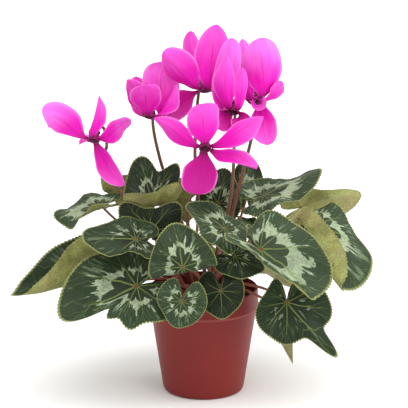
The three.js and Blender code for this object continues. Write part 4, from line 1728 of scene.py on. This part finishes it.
@dataclass(frozen=True)
class Soil:
    """The peat that fills the pot, its top crumbly, sunk round the tuber.

    Attributes:
        pot: The pot that it fills.
        corm: The tuber that sits in it.
        surface: Height of its top.
        edge: Radius of its top.
        gap: Room between it and what it touches.
        crumbs: How many loose crumbs lie on it.
        seed: Seed of the crumbs.
    """

    pot: Pot
    corm: Corm
    surface: float = 88
    edge: float = 50.3
    gap: float = 0.35
    crumbs: int = 240
    seed: int = 41

    def top(self, x: float, y: float) -> float:
        """Finds the height of the soil's top, before it is sunk round the tuber.

        Args:
            x: Place on the top.
            y: Place on the top.

        Returns:
            The height.
        """
        wave = 1.1 * math.sin(x * 0.31 + 1) * math.cos(y * 0.27) + 0.7 * math.sin(x * 0.9 + y)
        rough = 0.9 * noise.noise(Vector((x, y, 3)) * 0.33) + 0.45 * noise.noise(Vector((x, y, 9)) * 0.9)
        keep = ease((self.edge - math.hypot(x, y)) / 5)
        return self.surface + (wave * 0.8 + rough) * keep

    def sunk(self, x: float, y: float) -> float:
        """Finds the height of the soil's top, with the hollow that the tuber sits in.

        Args:
            x: Place on the top.
            y: Place on the top.

        Returns:
            The height.
        """
        r = math.hypot(x, y)
        level = self.top(x, y)
        if r < self.corm.radius - 1.4:
            inside = max(0.0, 1 - (r / (self.corm.radius + self.gap)) ** 2)
            level = min(level, self.corm.centre - (self.corm.half + self.gap) * math.sqrt(inside))
        return level

    def build(self) -> bpy.types.Object:
        """Builds and dresses the soil.

        Returns:
            The new object.
        """
        pot = self.pot
        wall = pot.wall + 0.3
        under = pot.collar_at - 2
        skirt = [
            (0, 2.7), (pot.foot - wall - 2, 2.7), (pot.outside(4) - wall, 4.6),
            (pot.outside(under) - wall, under), (pot.mouth - wall, pot.collar_at + 1.3),
            (pot.mouth - wall, self.surface - 0.6),
        ]
        rings = [(self.edge - 1.45 * k, self.surface) for k in range(35)]
        bm = bmesh.new()
        spun(bm, skirt + [p for p in rings if p[0] > 0.2] + [(0, self.surface)], 160)
        for vert in bm.verts:
            if vert.co.z > self.surface - 0.3:
                vert.co.z = self.sunk(vert.co.x, vert.co.y)
        draw = random.Random(self.seed)
        for _ in range(self.crumbs):
            r = math.sqrt(draw.uniform(31.5 ** 2, 48.3 ** 2))
            turn = draw.uniform(0, TAU)
            x, y = r * math.cos(turn), r * math.sin(turn)
            size = draw.uniform(0.5, 1.5)
            self.crumb(bm, Vector((x, y, self.top(x, y) + size * 0.2)), size, draw)
        bmesh.ops.recalc_face_normals(bm, faces=bm.faces)
        return Piece("soil", "soil", (SOIL_SKIN,)).make(bm)

    def crumb(self, bm: bmesh.types.BMesh, place: Vector, size: float, draw: random.Random) -> None:
        """Adds one uneven crumb.

        Args:
            bm: The mesh to add to.
            place: Its middle.
            size: Its greatest radius.
            draw: Where its unevenness is drawn from.
        """
        made = bmesh.ops.create_icosphere(bm, subdivisions=1, radius=size)["verts"]
        for vert in made:
            vert.co *= draw.uniform(0.7, 1.1)
            vert.co.z *= 0.7
            vert.co += place


# ---- Stage, light and camera ----


@dataclass(frozen=True)
class Studio:
    """A white floor, soft light from above and the right, and the camera of the picture.

    Attributes:
        frame_width: Width of the picture in pixels.
        focal: The camera's focal length in those pixels.
        tilt: How far the camera looks down, in degrees.
        eye: The camera's place.
    """

    frame_width: float = 408
    focal: float = 2162.2
    tilt: float = 14.643
    eye: Triple = (0.55, -2000, 707.6)

    def build(self) -> None:
        """Adds the floor, lights and camera."""
        self.floor()
        self.world()
        self.sun("key_light", (0.22, -0.38, 1.1), 75.0, 1.95, (1.0, 0.99, 0.97))
        self.sun("side_light", (1.0, 0.02, 0.3), 30.0, 1.2, (1.0, 1.0, 1.0))
        self.camera()
        bpy.context.scene.view_settings.view_transform = "Standard"

    def floor(self) -> None:
        """Adds the pale floor."""
        bm = bmesh.new()
        bmesh.ops.create_circle(bm, cap_ends=True, segments=64, radius=6)
        mesh = bpy.data.meshes.new("floor")
        bm.to_mesh(mesh)
        bm.free()
        floor = bpy.data.objects.new("floor", mesh)
        bpy.context.scene.collection.objects.link(floor)
        paint = bpy.data.materials.new("floor_paper")
        paint.use_nodes = True
        shader = paint.node_tree.nodes["Principled BSDF"]
        g = Graph(paint.node_tree)
        grain = g.noise(g.add("ShaderNodeTexCoord").outputs["Object"], 8.0)
        g.feed(shader.inputs["Base Color"], g.mix(grain, (0.93, 0.93, 0.93, 1), (0.96, 0.96, 0.96, 1)))
        shader.inputs["Roughness"].default_value = 0.9
        mesh.materials.append(paint)

    def world(self) -> None:
        """Adds the white surroundings."""
        world = bpy.data.worlds.new("studio")
        world.use_nodes = True
        ground = world.node_tree.nodes["Background"]
        ground.inputs["Color"].default_value = (1, 1, 1, 1)
        ground.inputs["Strength"].default_value = 0.9
        bpy.context.scene.world = world

    def sun(self, name: str, toward: Triple, spread: float, power: float, colour: Triple) -> None:
        """Adds a wide, even light from far away.

        Args:
            name: The light's name.
            toward: The way from the plant to the light.
            spread: Its angular size in degrees; wider is softer.
            power: Its strength.
            colour: Its colour.
        """
        data = bpy.data.lights.new(name, "SUN")
        data.angle = math.radians(spread)
        data.energy = power
        data.color = colour
        sun = bpy.data.objects.new(name, data)
        sun.rotation_euler = (-vec(toward)).to_track_quat("-Z", "Y").to_euler()
        bpy.context.scene.collection.objects.link(sun)

    def camera(self) -> None:
        """Adds the camera at the picture's place and angle."""
        data = bpy.data.cameras.new("camera")
        data.sensor_width = 36
        data.lens = self.focal / self.frame_width * data.sensor_width
        camera = bpy.data.objects.new("camera", data)
        camera.location = vec(self.eye) * MM
        camera.rotation_euler = (math.radians(90 - self.tilt), 0, 0)
        bpy.context.scene.collection.objects.link(camera)
        bpy.context.scene.camera = camera


# ---- The plant ----

LEAVES = [
    Leaf(1, (-104, -10, 112), (-182, -50, 113), (0, 0.05, 1), 100, silver=0.3, dark=0.3, ripple=2,
         sharp=0.75, dents=(Dent(-72, -0.3, 35), Dent(50, -0.15, 30)),
         curls=(Curl(90, 1, 12, 66), Curl(-90, 1, 12, 85))),
    Leaf(2, (-98, 9, 181), (-144, -7, 174), (0.1, -0.25, 0.95), 58, silver=0.95, dark=0,
         curls=(Curl(-35, 30, 10, -80), Curl(-90, 2, 10, 55))),
    Leaf(3, (-63, -55, 165), (-113, -67, 172), (0.05, -0.65, 0.75), 56, silver=0.38, dark=0.3,
         dents=(Dent(-62, 0.2, 20),), curls=(Curl(-90, 3, 12, 42),)),
    Leaf(4, (-62, -70, 124), (-135, -88, 95), (-0.06, -0.83, 0.55), 86, silver=0.45, dark=0.2, ripple=3,
         taper=1.6,
         dents=(Dent(-14, 0.42, 7.5), Dent(-34, 0.46, 22), Dent(-72, 0.2, 20), Dent(130, 0.22, 25))),
    Leaf(5, (-19, -89, 148), (-27, -68, 187), (-0.05, -0.85, 0.52), 65, dark=0.3, bow=(0, 0, 12),
         dents=(Dent(-135, 0.15, 25),), curls=(Curl(180, 1, 7, -115),)),
    Leaf(6, (-20, -92, 116), (-25, -92.5, 88), (0, -0.97, 0.2), 48, silver=0.55, ripple=2,
         dents=(Dent(45, 0.12, 25),)),
    Leaf(7, (16, -74, 121), (18, -82, 95), (0.05, -0.93, 0.35), 46, silver=0.05, dark=0.9),
    Leaf(8, (-49, -6, 188), (-61, 15, 229), (0.1, -0.88, 0.46), 60, silver=0.4, dark=0.5, ripple=1,
         dome=1, taper=8, cleft=0.1, hook=0.12, bow=(0, 4, 8),
         dents=(Dent(24, 0.16, 10), Dent(50, -0.5, 16), Dent(138, -0.3, 22), Dent(-138, -0.3, 22)),
         curls=(Curl(180, 1, 9, 125), Curl(90, 15, 8, 40), Curl(-90, 15, 8, 40))),
    Leaf(9, (-74, 38, 190), (-98, 36, 208), (-0.25, 0.75, 0.6), 38, silver=0.4, dark=0.3),
    Leaf(10, (-50, -31, 167), (-50, -27, 189), (0.05, -0.95, 0.25), 60, silver=0.12, dark=0.9,
         bow=(4, 0, 0), dents=(Dent(45, -0.35, 20), Dent(-45, -0.35, 20)),
         curls=(Curl(180, 3, 10, -80),)),
    Leaf(11, (-24, 18, 176), (-28, 24, 208), (0.35, 0.95, -0.15), 36, silver=0.2, dark=0.4),
    Leaf(12, (20, -55, 175), (-12, -41, 202), (0.5, -0.5, 0.65), 52, silver=0.55, bow=(0, 12, 0)),
    Leaf(13, (53, -70, 160), (112, -92, 120), (0, -0.85, 0.5), 82, silver=0.9, dark=0, taper=2, hook=0.12,
         bow=(12, 12, 12), dents=(Dent(-20, -0.08, 15), Dent(-148, 0.4, 22), Dent(65, 0.38, 50)),
         curls=(Curl(90, 0.5, 6, 70),)),
    Leaf(14, (29, -63, 151), (57, -71, 141), (0.1, -0.75, 0.65), 42, silver=0.25, dark=0.7),
    Leaf(15, (58, -2, 194), (113, 3, 219), (-0.45, -0.25, 0.85), 60, silver=0.85, dark=0,
         curls=(Curl(-135, 6, 12, 45),)),
    Leaf(16, (96, 40, 171), (154, 42, 185), (-0.1, 0.9, 0.45), 48, silver=1, dark=0),
    Leaf(17, (108, -8, 167), (152, -35, 115), (0.45, -0.6, 0.65), 80, silver=0.6, taper=2,
         dents=(Dent(-32, -0.1, 20),), curls=(Curl(90, 15, 9, 140), Curl(180, 8, 10, -70))),
    Leaf(18, (78, -66, 107), (78, -80, 69), (0.1, -0.9, 0.4), 78, silver=0.22, dark=0.5, ripple=3,
         dents=(Dent(-43, -0.8, 8), Dent(-74, -0.18, 20), Dent(122, 0.42, 58), Dent(-150, 0.4, 25))),
    Leaf(19, (74, -36, 92), (89, -42, 40), (0.5, 0.8, 0.1), 27, silver=0.3, dark=0.3, sharp=1),
    Leaf(20, (14, 28, 178), (21, 36, 212), (0, -0.9, 0.4), 46, silver=0.4, dark=0.5),
    Leaf(21, (50, -23, 165), (31, -28, 177), (0.2, -0.6, 0.75), 30, silver=0.4, dark=0.3),
    Leaf(22, (6, -56, 160), (-7, -58, 163), (0.1, -0.7, 0.7), 16, silver=0, dark=0, young=True),
    Leaf(23, (42, 38, 184), (44, 46, 220), (0, -0.8, 0.6), 40, dark=0.3),
    Leaf(24, (-65, 60, 140), (-112, 92, 122), (-0.25, 0.3, 0.92), 74),
    Leaf(25, (-24, 80, 152), (-36, 136, 134), (-0.05, 0.35, 0.93), 74),
    Leaf(26, (26, 84, 160), (38, 142, 144), (0.05, 0.35, 0.93), 78),
    Leaf(27, (70, 62, 148), (112, 102, 128), (0.3, 0.3, 0.9), 76),
    Leaf(28, (-59, 66, 106), (-90, 98, 80), (-0.4, 0.55, 0.7), 62),
    Leaf(29, (-2, 82, 112), (-2, 126, 88), (0, 0.7, 0.7), 58),
    Leaf(30, (56, 66, 108), (86, 96, 80), (0.4, 0.6, 0.7), 60),
    Leaf(31, (-6, 64, 184), (-16, 106, 184), (0, 0.15, 1), 56),
]

BUNCHES = [
    Bunch("stalks_front", -85, (5, 6, 7, 12, 14, 22)),
    Bunch("stalks_left_front", -135, (3, 4, 10)),
    Bunch("stalks_left", 165, (1, 2, 8, 9)),
    Bunch("stalks_right_front", -35, (13, 18, 19)),
    Bunch("stalks_right", 15, (15, 16, 17, 21)),
    Bunch("stalks_back_left", 120, (11, 24, 25, 28, 31)),
    Bunch("stalks_back_right", 62, (20, 23, 26, 27, 29, 30)),
]

# Each petal's pale value is partly painted light and shade: low on petals that face down, high on petals that
# face the light.
BLOOMS = [
    Bloom("left", (-103, -20, 252), (-0.2, -0.6, -0.75), 170,
          ((-20, -2, 130), (-54, -3, 160), (-76, -7, 194), (-94, -9, 232)), 122, (
        Petal(0, (5, 6, 42), 20, (0.7, -0.7, 0), 0.3, slant=0.2, blunt=1.4, crease=0.4, twist=-35,
              pale=0.5),
        Petal(72, (34, 8, 20), 28, (0, -0.3, 1), -0.1, slant=-0.4, blunt=0.7, crease=0.2, twist=25,
              pale=0.6),
        Petal(178, (24, -14, -42), 20, (0.9, -0.3, 0.3), 0.3, end=(0.4, 0.1, -0.9), slant=0.5,
              blunt=1.1, crease=0.2, pale=0.3),
        Petal(235, (-6, 34, -2), 20, (1, 0.3, 0.2), 0.2, slant=-0.25),
        Petal(288, (-47, -6, 25), 30, (0.1, -0.2, 1), 0.2, end=(-1, 0, -0.35), slant=-0.15, blunt=0.6,
              crease=0.1, pale=0.95),
    )),
    Bloom("left_middle", (-51, 0, 270), (-0.2, -0.5, -0.85), 130,
          ((-14, 14, 140), (-32, 32, 190), (-42, 22, 225)), 186, (
        Petal(0, (-4, -14, 33), 30, (1, 0, 0), 0.3, slant=0.1, blunt=0.8, pale=0.3),
        Petal(72, (27, 2, 30), 20, (0.6, -0.7, 0.2), 0.2, slant=-0.3, blunt=1.2, crease=0.4),
        Petal(104, (10, 18, 50), 36, (1, 0.1, 0), 0.1, end=(0.1, -0.6, 0.8), slant=0.3, blunt=0.6,
              crease=0, pale=0.8),
        Petal(222, (-10, 24, 34), 24, (1, -0.3, 0), 0.2, end=(0, -0.2, 1), slant=-0.25, crease=0),
        Petal(288, (-15, 4, 37), 22, (0.8, -0.4, 0.2), 0.2, slant=-0.6, blunt=1.1, crease=0.1, pale=0.3),
    )),
    Bloom("top", (1, 15, 292), (0, -0.45, -0.9), 80,
          ((0, 14, 140), (-8, 22, 220)), 206, (
        Petal(20, (10, 8, 63), 34, (1, 0, 0), 0.2, slant=0.1, blunt=1.15, crease=0.1),
        Petal(84, (18, -14, -20), 18, (0.6, 0.5, -0.4), 0.2, slant=-0.25),
        Petal(140, (-16, 30, 52), 20, (1, 0.3, 0), 0.2, end=(-0.1, -0.2, 1), slant=0.25),
        Petal(244, (-38, 2, -24), 24, (0.2, 0.2, 1), 0.3, slant=-0.25, blunt=0.8, crease=0.3, pale=0.2),
        Petal(308, (-41, -12, 37), 34, (0.6, -0.2, 0.75), 0.2, end=(-1, -0.2, 0.5), slant=0.2,
              blunt=1.2, crease=0.4),
    )),
    Bloom("front", (1.5, -50, 251), (0, -0.8, -0.6), 250,
          ((-8, -14, 130), (-15, -24, 180), (-6, -30, 225)), None, (
        Petal(0, (-4, 8, 41), 30, (1, 0, 0.1), 0.2, slant=0.3, blunt=0.6, crease=0.1, pale=0.4),
        Petal(65, (53, 4, 31), 22, (-0.5, 0.2, 0.85), 0.2, slant=-0.2, blunt=1.3, crease=0.3, twist=40),
        Petal(115, (47, -10, -18), 18, (0.5, 0.4, 0.5), 0.3, slant=0.3, blunt=0.8, crease=0.4,
              twist=-40, pale=0.35),
        Petal(185, (-8, -10, -41), 33, (1, 0, 0), 0.2, slant=-0.1, blunt=0.7, crease=0.1, pale=0.05),
        Petal(290, (-46, 4, 30), 19, (0.5, 0.4, 0.75), 0.2, slant=-0.3, blunt=1.3, crease=0.35,
              twist=-40, pale=0.3),
    )),
    Bloom("middle", (28, -15, 278), (-0.1, -0.6, -0.75), 300,
          ((10, -10, 130), (26, -12, 195)), 180, (
        Petal(330, (-9, -6, 54), 21, (1, 0.2, 0), 0.3, slant=0.3, blunt=1.4, crease=0.2),
        Petal(40, (10, 2, 42), 14, (1, 0.4, 0), 0.2, slant=-0.25),
        Petal(110, (8, -16, -16), 20, (1, 0, 0), 0.2, slant=0.25, pale=0.05),
        Petal(215, (-18, -12, -12), 22, (0.6, 0, -0.7), 0.2, slant=-0.25, pale=0.15),
        Petal(270, (0, 14, 68), 24, (1, 0, 0), 0.2, slant=-0.1, blunt=0.9, pale=0.8),
    )),
    Bloom("right", (51, 5, 284), (0.2, -0.6, -0.75), 20,
          ((16, 4, 130), (31, 0, 190)), 167, (
        Petal(20, (2, 2, 61), 38, (1, 0, 0), 0.2, slant=0.15, crease=0.2, pale=1),
        Petal(85, (22, 4, 20), 22, (0.3, -0.3, 0.9), 0.2, slant=-0.25),
        Petal(145, (7, -12, -40), 26, (1, 0, 0), 0.2, slant=0.25, blunt=0.9, pale=0.5),
        Petal(240, (-4, 28, 44), 20, (1, 0, 0), 0.2, end=(0, -0.3, 1), slant=-0.25),
        Petal(300, (-12, 14, 58), 18, (1, 0.2, 0), 0.2, slant=-0.25, blunt=1.1, crease=0.2, pale=0.9),
    ), rolled=True),
]


def main() -> None:
    """Builds the whole plant over the frame."""
    logging.basicConfig(level=logging.INFO, format="%(name)s %(message)s")
    Studio().build()
    pot, corm = Pot(), Corm()
    pot.build()
    Soil(pot, corm).build()
    corm.build()
    leaves = {leaf.number: leaf for leaf in LEAVES}
    for leaf in LEAVES:
        leaf.build()
    for bunch in BUNCHES:
        bunch.build(leaves)
    for bloom in BLOOMS:
        bloom.build_scape()
        bloom.build_bloom()
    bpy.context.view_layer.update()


if __name__ == "__main__":
    main()
